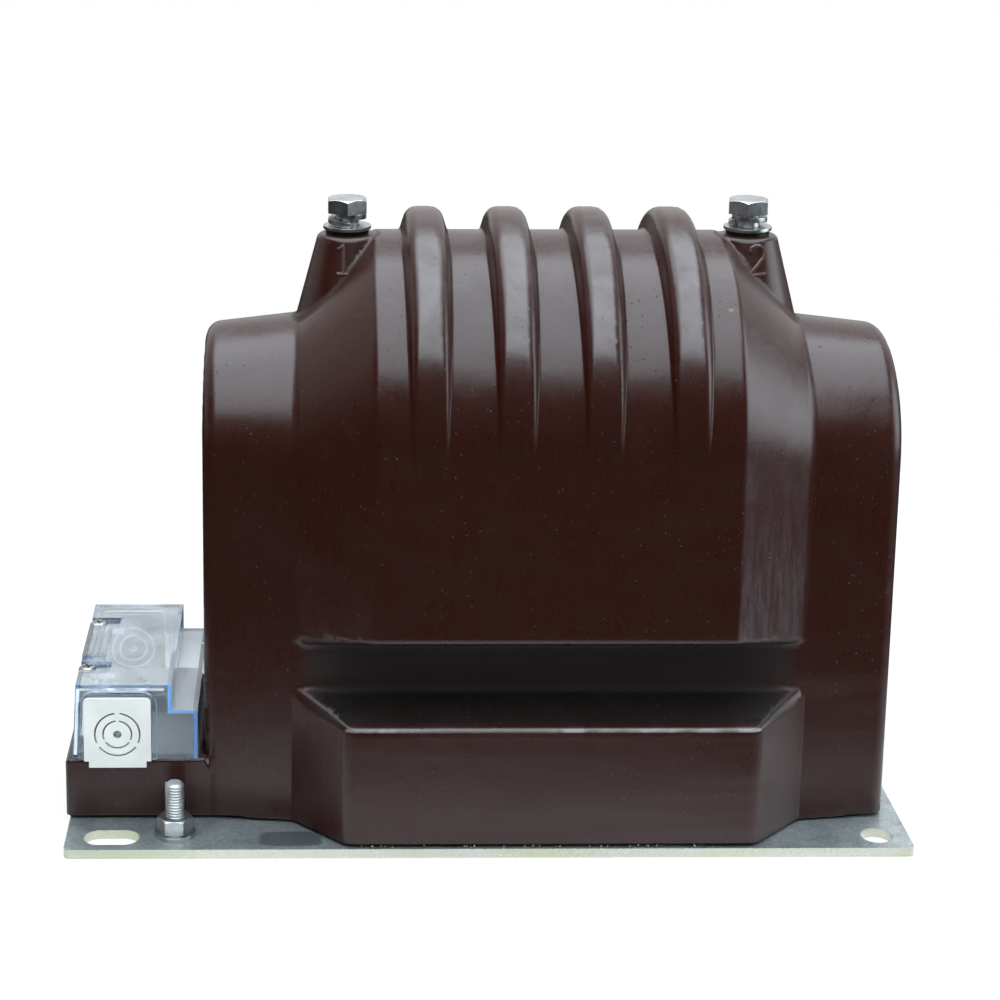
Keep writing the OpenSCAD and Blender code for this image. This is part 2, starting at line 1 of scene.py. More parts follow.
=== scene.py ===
"""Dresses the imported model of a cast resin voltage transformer.

The resin body is made again with soft moulded corners, the hardware gets worn edges, threads and
washers, and every piece gets its finish. Sizes are in metres, or in millimetres where a name ends
in _mm. X runs along the base plate, Y from front to back and Z up.
"""

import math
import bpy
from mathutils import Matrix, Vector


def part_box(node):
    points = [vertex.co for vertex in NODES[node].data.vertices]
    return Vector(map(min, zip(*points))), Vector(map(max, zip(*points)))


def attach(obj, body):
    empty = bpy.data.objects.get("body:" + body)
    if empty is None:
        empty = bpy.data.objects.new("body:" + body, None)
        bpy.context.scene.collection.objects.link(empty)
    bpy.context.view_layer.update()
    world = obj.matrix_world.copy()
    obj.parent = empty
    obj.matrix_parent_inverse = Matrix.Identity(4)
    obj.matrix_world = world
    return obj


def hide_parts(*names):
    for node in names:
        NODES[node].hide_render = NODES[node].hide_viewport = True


bl_info = {
    "name": "Cast resin voltage transformer",
    "version": (1, 0, 0),
    "blender": (4, 5, 0),
    "location": "3D View > Sidebar > Transformer",
    "description": "Dresses the packed solids of a cast resin voltage transformer",
    "category": "Object",
}

import bmesh
import bpy
import numpy as np
from bpy.props import FloatProperty, FloatVectorProperty, IntProperty, PointerProperty
from mathutils import Matrix, Vector

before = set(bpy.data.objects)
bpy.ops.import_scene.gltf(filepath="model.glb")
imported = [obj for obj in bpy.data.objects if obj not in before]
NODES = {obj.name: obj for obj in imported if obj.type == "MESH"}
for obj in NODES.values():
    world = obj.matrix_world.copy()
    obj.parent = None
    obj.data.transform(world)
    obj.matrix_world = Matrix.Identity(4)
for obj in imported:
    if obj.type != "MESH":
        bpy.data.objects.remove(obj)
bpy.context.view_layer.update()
MM = 0.001


# Shader building

class Term:
    """A shader socket that can be used in Python arithmetic."""

    def __init__(self, finish, socket):
        self.finish, self.socket = finish, socket

    def _math(self, operation, *values, clamp=False):
        made = self.finish.node("ShaderNodeMath", {"operation": operation, "use_clamp": clamp},
                                dict(enumerate(values)))
        return made.out(0)

    def __add__(self, other):
        return self._math("ADD", self, other)

    def __sub__(self, other):
        return self._math("SUBTRACT", self, other)

    def __rsub__(self, other):
        return self._math("SUBTRACT", other, self)

    def __mul__(self, other):
        return self._math("MULTIPLY", self, other)

    def __truediv__(self, other):
        return self._math("DIVIDE", self, other)

    def __pow__(self, other):
        return self._math("POWER", self, other)

    __radd__ = __add__
    __rmul__ = __mul__

    def clipped(self):
        return self._math("ADD", self, 0.0, clamp=True)

    def ramp(self, low, high):
        """0 below low, 1 above high and smooth between them."""
        made = self.finish.node("ShaderNodeMapRange", {"interpolation_type": "SMOOTHSTEP"},
                                {"Value": self, "From Min": low, "From Max": high})
        return made.out("Result")

    def fall(self, low, high):
        """1 below low, 0 above high and smooth between them."""
        return 1.0 - self.ramp(low, high)

    def near(self, place, full, gone):
        """1 as far as full from a place, and 0 from gone on."""
        return (self - place).size().fall(full, gone)

    def larger(self, other):
        return self._math("MAXIMUM", self, other)

    def size(self):
        return self._math("ABSOLUTE", self)


class Made:
    """A node that was just added, with its outputs as terms."""

    def __init__(self, finish, node):
        self.finish, self.node = finish, node

    def out(self, key):
        return Term(self.finish, self.node.outputs[key])


class Finish:
    """A material under construction. Patterns read the object's own coordinates, in metres."""

    def __init__(self, name, base, roughness, metallic=0.0, **constants):
        self.material = bpy.data.materials.new(name)
        self.material.use_nodes = True
        self.tree = self.material.node_tree
        self.tree.nodes.clear()
        self.surface = self.node("ShaderNodeBsdfPrincipled")
        self.output = self.node("ShaderNodeOutputMaterial")
        self.link(self.surface.out("BSDF"), self.output.node.inputs["Surface"])
        self.material.diffuse_color = (*base, 1.0)
        values = {"Base Color": (*base, 1.0), "Roughness": roughness, "Metallic": metallic}
        values.update(constants)
        for key, value in values.items():
            self.surface.node.inputs[key].default_value = value
        self.place = self.node("ShaderNodeTexCoord").out("Object")
        self.facing = self.node("ShaderNodeNewGeometry").out("Normal")

    def link(self, term, socket):
        self.tree.links.new(term.socket, socket)

    def node(self, kind, settings=None, inputs=None):
        """Adds a node: its settings come first, then the values or links of its sockets."""
        made = self.tree.nodes.new(kind)
        for key, value in (settings or {}).items():
            if key == "stops":
                self._stops(made.color_ramp, value)
            else:
                setattr(made, key, value)
        for key, value in (inputs or {}).items():
            if isinstance(value, Term):
                self.link(value, made.inputs[key])
            else:
                made.inputs[key].default_value = value
        return Made(self, made)

    @staticmethod
    def _stops(ramp, stops):
        while len(ramp.elements) < len(stops):
            ramp.elements.new(0.5)
        for element, (position, colour) in zip(ramp.elements, stops):
            element.position, element.color = position, (*colour, 1.0)

    def axis(self, index, of=None):
        made = self.node("ShaderNodeSeparateXYZ", None, {0: of or self.place})
        return made.out(index)

    def length(self, x=0.0, y=0.0, z=0.0):
        """The length of the vector with these parts."""
        parts = self.node("ShaderNodeCombineXYZ", None, {0: x, 1: y, 2: z}).out(0)
        return self.node("ShaderNodeVectorMath", {"operation": "LENGTH"}, {0: parts}).out("Value")

    def stretched(self, scale):
        """The coordinates scaled by a vector, for grain that runs one way."""
        return self.node("ShaderNodeVectorMath", {"operation": "MULTIPLY"},
                         {0: self.place, 1: scale}).out("Vector")

    def noise(self, scale, detail=3.0, roughness=0.55, at=None, distortion=0.0):
        return self.node("ShaderNodeTexNoise", None,
                         {"Vector": at or self.place, "Scale": scale, "Detail": detail,
                          "Roughness": roughness, "Distortion": distortion}).out("Fac")

    def warped(self, scale=900.0, reach=0.0016):
        """The coordinates shaken by fine noise, so that specks aren't round."""
        shake = self.node("ShaderNodeTexNoise", None, {"Vector": self.place, "Scale": scale})
        shake = self.node("ShaderNodeVectorMath", {"operation": "SCALE"},
                          {0: shake.out("Color"), "Scale": reach}).out("Vector")
        return self.node("ShaderNodeVectorMath", {"operation": "ADD"},
                         {0: self.place, 1: shake}).out("Vector")

    def cells(self, scale, at):
        return self.node("ShaderNodeTexVoronoi", None, {"Vector": at, "Scale": scale}).out("Distance")

    def mixed(self, factor, a, b):
        made = self.node("ShaderNodeMix", {"data_type": "RGBA"}, {"Factor": factor})
        for index, value in ((6, a), (7, b)):  # the colour sockets of a Mix node
            if isinstance(value, Term):
                self.link(value, made.node.inputs[index])
            else:
                made.node.inputs[index].default_value = (*value, 1.0)
        return made.out(2)

    def ramp(self, factor, stops):
        return self.node("ShaderNodeValToRGB", {"stops": stops}, {"Fac": factor}).out("Color")

    def set(self, **terms):
        names = {"colour": "Base Color", "roughness": "Roughness", "coat": "Coat Weight"}
        for key, term in terms.items():
            self.link(term, self.surface.node.inputs[names[key]])

    def bump(self, *layers):
        """Layers are (height, strength, distance in metres), from the coarsest to the finest."""
        normal = None
        for height, strength, distance in layers:
            inputs = {"Height": height, "Strength": strength, "Distance": distance}
            if normal:
                inputs["Normal"] = normal
            normal = self.node("ShaderNodeBump", None, inputs).out("Normal")
        self.link(normal, self.surface.node.inputs["Normal"])

    def shader(self, kind, colour, **inputs):
        return self.node("ShaderNode" + kind, None, {"Color": (*colour, 1.0), **inputs}).out(0)

    def covered(self, *layers):
        """Lays (factor, shader) layers over the surface, the last on top."""
        both = self.surface.out("BSDF")
        for factor, shader in layers:
            both = self.node("ShaderNodeMixShader", None, {0: factor, 1: both, 2: shader}).out(0)
        self.link(both, self.output.node.inputs["Surface"])

    def box_mask(self, low, high, soft):
        """1 inside a box of the object's space, falling to 0 over soft, in metres."""
        mask = 1.0
        for index, (start, stop) in enumerate(zip(low, high)):
            if start is not None:
                half = (stop - start) / 2
                mask = self.axis(index).near(start + half, half - soft, half + soft) * mask
        return mask


# Settings

class ResinSettings(bpy.types.PropertyGroup):
    colour: FloatVectorProperty(name="Resin colour", description="Colour of the filled resin",
                                subtype="COLOR", size=3, default=(0.0226, 0.0034, 0.0012))
    # The haze colour also serves as painted sheen on faces turned up and on faces turned to the right
    # lamp.
    haze_and_sheen: FloatVectorProperty(name="Haze colour", description="Colour of the worn, dusty skin",
                              subtype="COLOR", size=3, default=(0.046, 0.029, 0.026))
    roughness: FloatProperty(name="Roughness", description="Roughness of the moulded skin",
                             default=0.28, min=0.0, max=1.0, subtype="FACTOR")
    cell_mm: FloatProperty(name="Mesh cell", description="Finest cell of the skin's mesh, in mm",
                           default=0.75, min=0.5, max=3.0)
    fillet_mm: FloatProperty(name="Fillet", description="Radius where two bodies of the casting meet",
                             default=1.3, min=0.5, max=6.0)


class HardwareSettings(bpy.types.PropertyGroup):
    edge: FloatProperty(name="Edge", description="Width of the rounded edges of metal pieces",
                        default=0.00025, min=0.0, max=0.001, subtype="DISTANCE", unit="LENGTH")
    pitch: FloatProperty(name="Thread pitch", description="Pitch of the earth stud's thread",
                         default=0.00125, min=0.0005, max=0.003, subtype="DISTANCE", unit="LENGTH")
    crumbs: IntProperty(name="Crumbs", description="Crumbs of resin flash along the foot",
                        default=46, min=0, max=400)


class CoverSettings(bpy.types.PropertyGroup):
    tint: FloatVectorProperty(name="Tint", description="Tint of the clear cover",
                              subtype="COLOR", size=3, default=(0.97, 0.99, 1.0))
    # The edge colour is painted light: the blue of light that runs inside the sheet.
    edge_light_tint: FloatVectorProperty(name="Edge tint", description="Colour of the cover's edges",
                                   subtype="COLOR", size=3, default=(0.19, 0.43, 0.90))
    deep_tint: FloatVectorProperty(name="Deep tint", description="Tint of a long way through",
                                   subtype="COLOR", size=3, default=(0.40, 0.70, 1.0))


class StageSettings(bpy.types.PropertyGroup):
    floor: FloatVectorProperty(name="Floor", description="Colour of the floor", subtype="COLOR",
                               size=3, default=(0.86, 0.86, 0.86))
    world: FloatProperty(name="World", description="Strength of the light from all round",
                         default=0.22, min=0.0, max=3.0)
    room: FloatProperty(name="Room", description="Brightness of the room that glossy faces show",
                        default=0.05, min=0.0, max=2.0)
    key: FloatProperty(name="Overhead light", description="Power of the overhead lamp",
                       default=30.0, min=0.0, max=200.0, subtype="POWER", unit="POWER")
    front: FloatProperty(name="Front light", description="Power of the high front lamp",
                         default=11.0, min=0.0, max=200.0, subtype="POWER", unit="POWER")
    left: FloatProperty(name="Left light", description="Power of the left lamp",
                        default=1.0, min=0.0, max=200.0, subtype="POWER", unit="POWER")
    right: FloatProperty(name="Right light", description="Power of the right lamp",
                         default=8.0, min=0.0, max=200.0, subtype="POWER", unit="POWER")


class TransformerSettings(bpy.types.PropertyGroup):
    resin: PointerProperty(type=ResinSettings)
    hardware: PointerProperty(type=HardwareSettings)
    cover: PointerProperty(type=CoverSettings)
    stage: PointerProperty(type=StageSettings)


# Finishes

def resin_finish(settings):
    """Filled resin: a matt pale layer on top, partly dust and partly painted sheen, hazy smears with
    painted sheen on faces turned up and on faces turned right, painted shade in the recess, a pale
    edge line that is partly a painted highlight, polished ribs, a few pits and scuffs.
    """
    f = Finish("cast_resin", settings.colour, settings.roughness,
               **{"Specular IOR Level": 0.45, "Coat Roughness": 0.20})
    x, y, z = (f.axis(i) for i in range(3))
    across, deep = (x - CAST_X * MM).size(), y.size()

    # Where a face looks and where it is
    turned, level = f.axis(0, of=f.facing), f.axis(2, of=f.facing)
    up, right = level.ramp(0.25, 0.9), turned.ramp(0.25, 0.7)
    left = (turned * -1.0).ramp(0.25, 0.7)
    low, front = z.fall(0.055, 0.085), y.fall(-0.03, -0.01)
    above_ledge = z.ramp(0.086, 0.096).larger(x.fall(-0.122, -0.118))
    recess = (z.ramp(0.0555, 0.058) * z.fall(0.086, 0.091) * deep.fall(0.0700, 0.0722)
              * across.fall(0.090, 0.106))
    crease = z.near(0.0643, 0.0008, 0.0018) * deep.fall(0.0520, 0.0535) * recess
    root = f.length(across - PILLAR_X * MM, y)
    root = root + z * PILLAR_SPREAD - (PILLAR_R + PILLAR_SPREAD * PILLAR_Z) * MM
    root = root.ramp(0.0001, 0.0005) * root.fall(0.0012, 0.0024) * z.ramp(0.205, 0.212)
    crest = f.length(y=y, z=z - RIB_Z * MM)

    # Patterns, the broadest first
    cloud = f.noise(9.0, 4.0, 0.6)
    smear = f.noise(30.0, 6.0, 0.68, at=f.stretched((0.8, 1.0, 1.0)), distortion=1.2)
    wiped = f.noise(60.0, 4.0, 0.6, at=f.stretched((0.12, 0.5, 1.3)), distortion=0.4)
    streaks = f.noise(150.0, 4.0, 0.65, at=f.stretched((1.0, 1.0, 0.12)))
    drag = f.noise(420.0, 4.0, 0.65, at=f.stretched((1.0, 1.0, 0.16)))
    grain = f.noise(700.0, 2.0)
    dust = f.cells(330.0, f.warped()).fall(0.05, 0.12) * f.noise(60.0, 4.0).ramp(0.40, 0.58)
    pit = f.cells(300.0, f.warped()).fall(0.05, 0.11) * f.noise(38.0, 3.0).ramp(0.50, 0.60)

    # What lies on the resin, and the painted sheen, highlight and shade, each with its colour
    # Grey haze: smears and wiping streaks, with painted sheen on faces turned up and on faces turned
    # right, less on faces turned left
    haze_and_sheen = (smear.ramp(0.50, 0.74) * (0.04 + left * 0.08 + right * 0.45
                                      + up * (1.0 - left * 0.8) * 0.30)
            + wiped.ramp(0.45, 0.72) * (0.02 + low * (1.0 - left) * 0.28) + right * 0.20).clipped()
    # A pale layer on up-facing faces above the ledge, partly dust and partly painted sheen of the
    # overhead lamp, left out on faces turned left; on faces turned right it is painted sheen of the
    # right lamp.
    film_and_sheen = (up * above_ledge * (1.0 - left * 0.8)
            * (0.08 + smear.ramp(0.35, 0.70) * 0.12 + drag.ramp(0.40, 0.75) * 0.10)
            + right * (1.0 - low) * (1.0 - z.ramp(0.105, 0.150) * 0.75) * x.fall(0.130, 0.150)
            * (0.05 + streaks.ramp(0.35, 0.70) * 0.16 + drag.ramp(0.42, 0.62) * 0.16))
    # A pale line along the foot's front top edge: partly wear, partly a painted highlight
    worn = (z.ramp(0.0546, 0.0551) * z.fall(0.0558, 0.0564) * deep.ramp(0.0716, 0.0722)
            * (0.35 + smear.ramp(0.40, 0.60) * 0.65))
    scratch = f.box_mask((0.0930, None, 0.2257), (0.0949, None, 0.2263), 0.0005) * front
    colour = tuple(settings.colour)
    for factor, over in (
            (haze_and_sheen, tuple(settings.haze_and_sheen)), (film_and_sheen, (0.100, 0.100, 0.108)),
            # Painted shade in the recess under the housing, darkest on up-facing faces; then the pale
            # edge line, partly a painted highlight
            (recess * (0.50 + up * 0.42), (0.0075, 0.0062, 0.0058)), (worn * 0.45, (0.42, 0.43, 0.45)),
            ((dust * (0.18 + up * 0.30) * (1.0 - recess * 0.8)).clipped(), (0.24, 0.21, 0.20)),
            (pit * 0.85, (0.006, 0.003, 0.003)), (scratch * (0.3 + grain * 0.5), (0.26, 0.19, 0.09))):
        colour = f.mixed(factor, colour, over)

    polish = (crest.ramp(0.0732, 0.0742) * z.ramp(0.180, 0.195) * (1.0 - level.ramp(0.70, 0.97) * 0.8)
              * turned.size().fall(0.12, 0.40) * across.fall(0.062, 0.063))
    f.set(colour=colour, coat=(polish * (0.35 + smear.ramp(0.3, 0.6) * 0.45)).clipped(),
          roughness=(settings.roughness + (smear - 0.5) * 0.16 + (cloud - 0.5) * 0.08
                     + (drag - 0.5) * 0.16 + haze_and_sheen * 0.12 + grain * 0.04 + dust * 0.2
                     + recess * (1.0 - up) * 0.3 + crease * 0.5 + root * 0.30).clipped())
    seam = f.box_mask((-0.1262, None, 0.005), (-0.1256, None, 0.031), 0.0002)
    f.bump((f.noise(24.0, 2.0), 0.30, 0.0016), (smear, 0.22, 0.0006),
           (f.noise(115.0, 3.0), 0.25, 0.0004), (drag, 0.14, 0.0002), (grain, 0.12, 0.00012),
           (seam, 0.5, 0.0003), (1.0 - pit, 0.8, 0.0005), (dust, 0.4, 0.0002))
    return f.material


def plate_finish():
    """Passivated zinc: a fine grained grey top with painted shade towards the left, and a paler cut
    edge.
    """
    f = Finish("plate_zinc", (0.40, 0.42, 0.40), 0.42, 0.75)
    broad = f.noise(9.0, 3.0, 0.6, distortion=0.6)
    rolled = f.noise(120.0, 3.0, 0.6, at=f.stretched((0.10, 1.0, 1.0)))
    speck = f.noise(900.0, 4.0, 0.75)
    patch = f.noise(130.0, 5.0, 0.7)
    top = f.axis(2, of=f.facing).ramp(0.4, 0.9)
    edge = f.ramp((broad * 0.65 + rolled * 0.35).clipped(),
                  [(0.32, (0.44, 0.47, 0.33)), (0.44, (0.55, 0.55, 0.43)), (0.52, (0.57, 0.56, 0.50)),
                   (0.60, (0.54, 0.53, 0.37)), (0.72, (0.58, 0.52, 0.49))])
    dull_top_and_shade = f.ramp((speck * 0.50 + patch * 0.30 + broad * 0.20).clipped(),
                  [(0.36, (0.22, 0.25, 0.26)), (0.50, (0.38, 0.42, 0.43)),
                   (0.64, (0.56, 0.61, 0.61))])
    # Painted shade: the top darkens towards the left end
    dull_top_and_shade = f.mixed(f.axis(0).fall(-0.17, -0.02) * 0.25, dull_top_and_shade, (0.17, 0.19, 0.20))
    colour = f.mixed(top, edge, dull_top_and_shade)
    (spot_x, spot_y), (long, wide) = (-0.0820, -0.0646), (0.0132, 0.0066)
    spot = ((f.axis(0) - spot_x) / long) ** 4.0 + ((f.axis(1) - spot_y) / wide) ** 4.0
    spot = (spot + (speck - 0.5) * 0.9).fall(0.5, 1.35)
    colour = f.mixed(spot * top * 0.72, colour, (0.060, 0.072, 0.088))
    f.set(colour=colour, roughness=(0.30 + top * 0.12 + (patch - 0.5) * 0.14 + (speck - 0.5) * 0.22
                                    + spot * 0.1).clipped())
    f.bump((rolled, 0.08, 0.0002), (speck, 0.16, 0.00008))
    return f.material


def zinc_finish(name="bright_zinc", roughness=0.28):
    """Bright zinc plating, clouded and finely brushed round the piece."""
    f = Finish(name, (0.55, 0.56, 0.55), roughness, 1.0)
    cloud = f.noise(160.0, 3.0, 0.6)
    brushed = f.noise(1500.0, 2.0, at=f.stretched((1.0, 1.0, 0.2)))
    colour = f.ramp((cloud * 0.6 + brushed * 0.4).clipped(),
                    [(0.30, (0.34, 0.35, 0.34)), (0.55, (0.51, 0.53, 0.53)),
                     (0.75, (0.63, 0.64, 0.63))])
    f.set(colour=colour, roughness=(roughness - 0.10 + cloud * 0.20 + brushed * 0.10).clipped())
    f.bump((brushed, 0.12, 0.00005),)
    return f.material


def spring_finish():
    """Hardened steel of the spring washers and cover screws."""
    f = Finish("spring_steel", (0.42, 0.42, 0.41), 0.33, 1.0)
    cloud = f.noise(260.0, 3.0, 0.6)
    f.set(colour=f.ramp(cloud, [(0.30, (0.30, 0.30, 0.29)), (0.70, (0.60, 0.60, 0.58))]),
          roughness=(0.25 + cloud * 0.2).clipped())
    f.bump((f.noise(1100.0, 2.0), 0.15, 0.00005),)
    return f.material


def brass_finish():
    """Turned brass, coloured nearly black as painted shade under the washers."""
    f = Finish("turned_brass", (0.30, 0.22, 0.10), 0.45, 1.0)
    turned = f.noise(1200.0, 2.0, at=f.stretched((0.3, 0.3, 1.0)))
    shade_mottle = f.noise(140.0, 4.0, 0.6)
    # Two near-black colours, mottled: painted shade where the inserts show under the washers
    f.set(colour=f.mixed(shade_mottle.ramp(0.35, 0.65), (0.045, 0.038, 0.028), (0.022, 0.019, 0.016)),
          roughness=(0.38 + turned * 0.2).clipped())
    f.bump((turned, 0.15, 0.00005),)
    return f.material


def plastic_finish(name, colour, roughness, mottle=0.06):
    """Opaque plastic or resin in one colour, slightly mottled."""
    f = Finish(name, colour, roughness)
    cloud = f.noise(70.0, 3.0)
    texture = f.noise(1800.0, 2.0)
    dark = tuple(c * (1.0 - mottle) for c in colour)
    f.set(colour=f.mixed(cloud.ramp(0.35, 0.7), colour, dark),
          roughness=(roughness + (texture - 0.5) * 0.15).clipped())
    f.bump((texture, 0.12, 0.00004),)
    return f.material


def gland_finish():
    """White plastic: painted shade in its knockout grooves outside, darker in their upper half, and on
    its inner faces painted shade with painted light on the rings and centre dot, where the grooves
    would let light through.
    """
    f = Finish("gland_white", (0.80, 0.82, 0.81), 0.42)
    cloud = f.noise(90.0, 3.0)
    texture = f.noise(1800.0, 2.0)
    middle_x, middle_z, rings, rim = -0.1543, 0.043, (0.00595, 0.00935), (0.0102, 0.0106)
    radius, depth = f.length(f.axis(0) - middle_x, z=f.axis(2) - middle_z), f.axis(1).size()
    inner, outer = (radius.near(ring, 0.0004, 0.0007) for ring in rings)
    dot, inside = radius.fall(0.0016, 0.0021), depth.fall(0.0455, 0.0458)
    colour = f.mixed(cloud.ramp(0.35, 0.7), (0.66, 0.66, 0.62), (0.61, 0.61, 0.58))
    # Painted shade on the inner faces, and painted light on the knockout rings and centre dot
    colour = f.mixed(inside * 0.9, colour, (0.26, 0.28, 0.30))
    colour = f.mixed(inside * inner.larger(outer).larger(dot), colour, (0.95, 0.96, 0.97))
    # Painted shade in the knockout grooves outside, darker in their upper half
    groove_shade = f.mixed(f.axis(2).ramp(0.0400, 0.0450), (0.30, 0.30, 0.31), (0.05, 0.05, 0.055))
    deep = depth.fall(0.0474, 0.0480) * radius.fall(*rim) * (1.0 - inside)
    colour = f.mixed(deep * 0.9, colour, groove_shade)
    f.set(colour=colour, roughness=(0.40 + (texture - 0.5) * 0.12).clipped())
    f.bump((texture, 0.10, 0.00004),)
    return f.material


def clear_finish(settings):
    """Clear sheet with hazy upper faces and painted light on its edges, blue and white; a long way
    through it turns the light blue.
    """
    f = Finish("clear_cover", settings.tint, 0.02,
               **{"Transmission Weight": 1.0, "IOR": 1.5})
    wear = f.noise(45.0, 4.0, 0.6)
    up = f.axis(2, of=f.facing).ramp(0.3, 0.9)
    f.set(roughness=(0.01 + wear.ramp(0.45, 0.8) * 0.06).clipped())
    f.bump((f.noise(160.0, 2.0), 0.004, 0.0002),)
    veil = 0.03 + wear.ramp(0.40, 0.75) * 0.05 + up * (0.09 + wear.ramp(0.35, 0.7) * 0.08)

    # Painted light on the outer walls: blue edges down the step, for light that runs inside the sheet,
    # and white painted highlights under the brim and at the left
    x, z, depth = f.axis(0), f.axis(2), f.axis(1).size()
    outer = depth.ramp(0.04545, 0.04549) * depth.fall(0.0458, 0.0459)
    upright = x.near(-0.1327, 0.0004, 0.0011) * z.ramp(0.0512, 0.0516)
    level = z.near(0.0518, 0.0003, 0.0009) * x.ramp(-0.1334, -0.1330) * x.fall(-0.1216, -0.1211)
    end = x.near(-0.1220, 0.0003, 0.0012) * z.fall(0.0520, 0.0526)
    edge = upright.larger(level).larger(end) * outer * (0.40 + wear.ramp(0.3, 0.7) * 0.30)
    brim = z.near(0.0618, 0.0003, 0.0008) * x.fall(-0.1350, -0.1346) * x.ramp(-0.1712, -0.1708)
    left = (x - (z - 0.031) * 0.054).near(-0.1723, 0.0004, 0.0010)
    left = left * z.ramp(0.0325, 0.0330) * z.fall(0.0618, 0.0624)
    # White painted highlights under the brim and along the left wall
    shine = (brim * 0.55).larger(left * 0.85) * outer
    f.covered((veil, f.shader("BsdfDiffuse", (0.90, 0.92, 0.93))),
              (shine, f.shader("BsdfDiffuse", (0.86, 0.90, 0.94))),
              (edge, f.shader("BsdfDiffuse", settings.edge_light_tint)))
    deep = f.shader("VolumeAbsorption", settings.deep_tint, Density=24.0)
    f.link(deep, f.output.node.inputs["Volume"])
    return f.material


def rim_finish(settings):
    """The cover's edges, painted blue for the light that runs inside the sheet and comes out there."""
    f = Finish("clear_rim", settings.edge_light_tint, 0.12)
    streak = f.noise(220.0, 3.0, 0.6)
    f.set(colour=f.mixed(streak.ramp(0.40, 0.62), tuple(settings.edge_light_tint), (0.50, 0.72, 1.0)))
    f.covered((0.12 + streak.ramp(0.3, 0.7) * 0.18, f.shader("BsdfTransparent", (0.70, 0.84, 1.0))))
    return f.material


def winding_finish(name, colour, turns):
    """Copper wire whose turns lie side by side along X."""
    f = Finish(name, colour, 0.35, 0.3)
    band = f.node("ShaderNodeTexWave", {"bands_direction": "X"},
                  {"Vector": f.place, "Scale": turns, "Distortion": 0.4}).out("Fac")
    dark = tuple(c * 0.35 for c in colour)
    f.set(colour=f.mixed(band, dark, colour))
    f.bump((band, 0.4, 0.0004),)
    return f.material


def strip_finish():
    """The cut faces of the core's wound strip."""
    f = Finish("core_strip", (0.24, 0.24, 0.25), 0.4, 1.0)
    layers = f.noise(500.0, 2.0, at=f.stretched((1.0, 0.05, 1.0)))
    f.set(colour=f.mixed(layers, (0.16, 0.16, 0.17), (0.34, 0.34, 0.35)))
    f.bump((layers, 0.2, 0.0001),)
    return f.material


def board_finish():
    """Fibrous pressboard."""
    f = Finish("pressboard", (0.42, 0.29, 0.15), 0.6)
    fibre = f.noise(240.0, 4.0, at=f.stretched((0.2, 1.0, 1.0)))
    f.set(colour=f.mixed(fibre, (0.36, 0.24, 0.12), (0.50, 0.36, 0.20)))
    f.bump((fibre, 0.2, 0.0002),)
    return f.material


# Mesh helpers

def add_object(name, mesh):
    made = bpy.data.objects.new(name, mesh)
    bpy.context.scene.collection.objects.link(made)
    return made


def dress(piece, slot, *materials):
    """Gives a piece its materials and lets it ride on the only body. The slot is not used."""
    for index, material in enumerate(materials):
        if index < len(piece.data.materials):
            piece.data.materials[index] = material
        else:
            piece.data.materials.append(material)
    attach(piece, "root")
    return piece


def plain(made):
    """Turns the evaluated object into a plain mesh without modifiers."""
    graph = bpy.context.evaluated_depsgraph_get()
    mesh = bpy.data.meshes.new_from_object(made.evaluated_get(graph))
    name = made.name
    bpy.data.objects.remove(made)
    mesh.name = name
    return add_object(name, mesh)


def smooth(made, degrees=32.0):
    made.data.shade_smooth()
    made.data.set_sharp_from_angle(angle=math.radians(degrees))
    return made


def softened(node, name, width, segments=2, degrees=28.0, edge_slot=-1):
    """A copy of a CAD node with rounded edges, which then stands for the node."""
    mesh = NODES[node].data.copy()
    mesh.materials.clear()
    for _ in range(edge_slot + 1):
        mesh.materials.append(None)
    bm = bmesh.new()
    bm.from_mesh(mesh)
    bmesh.ops.remove_doubles(bm, verts=bm.verts, dist=2e-6)
    bmesh.ops.dissolve_limit(bm, angle_limit=math.radians(0.6), verts=bm.verts, edges=bm.edges)
    bm.to_mesh(mesh)
    bm.free()
    made = add_object(name, mesh)
    if width > 0:
        bevel = made.modifiers.new("edges", "BEVEL")
        bevel.width, bevel.segments = width, segments
        bevel.limit_method, bevel.angle_limit = "ANGLE", math.radians(degrees)
        bevel.use_clamp_overlap, bevel.material = True, edge_slot
        made = plain(made)
    smooth(made)
    made.modifiers.new("flat_faces", "WEIGHTED_NORMAL").keep_sharp = True
    made = plain(made)
    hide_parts(node)
    return made


def graded(start, stop, coarse, zones):
    """Grid lines that are coarse apart, and closer in the zones: each a place, reach and spacing."""
    lines = [start]
    while lines[-1] < stop:
        near = [spacing for place, reach, spacing in zones if abs(lines[-1] - place) < reach]
        lines.append(lines[-1] + min(near, default=coarse))
    return np.array(lines)


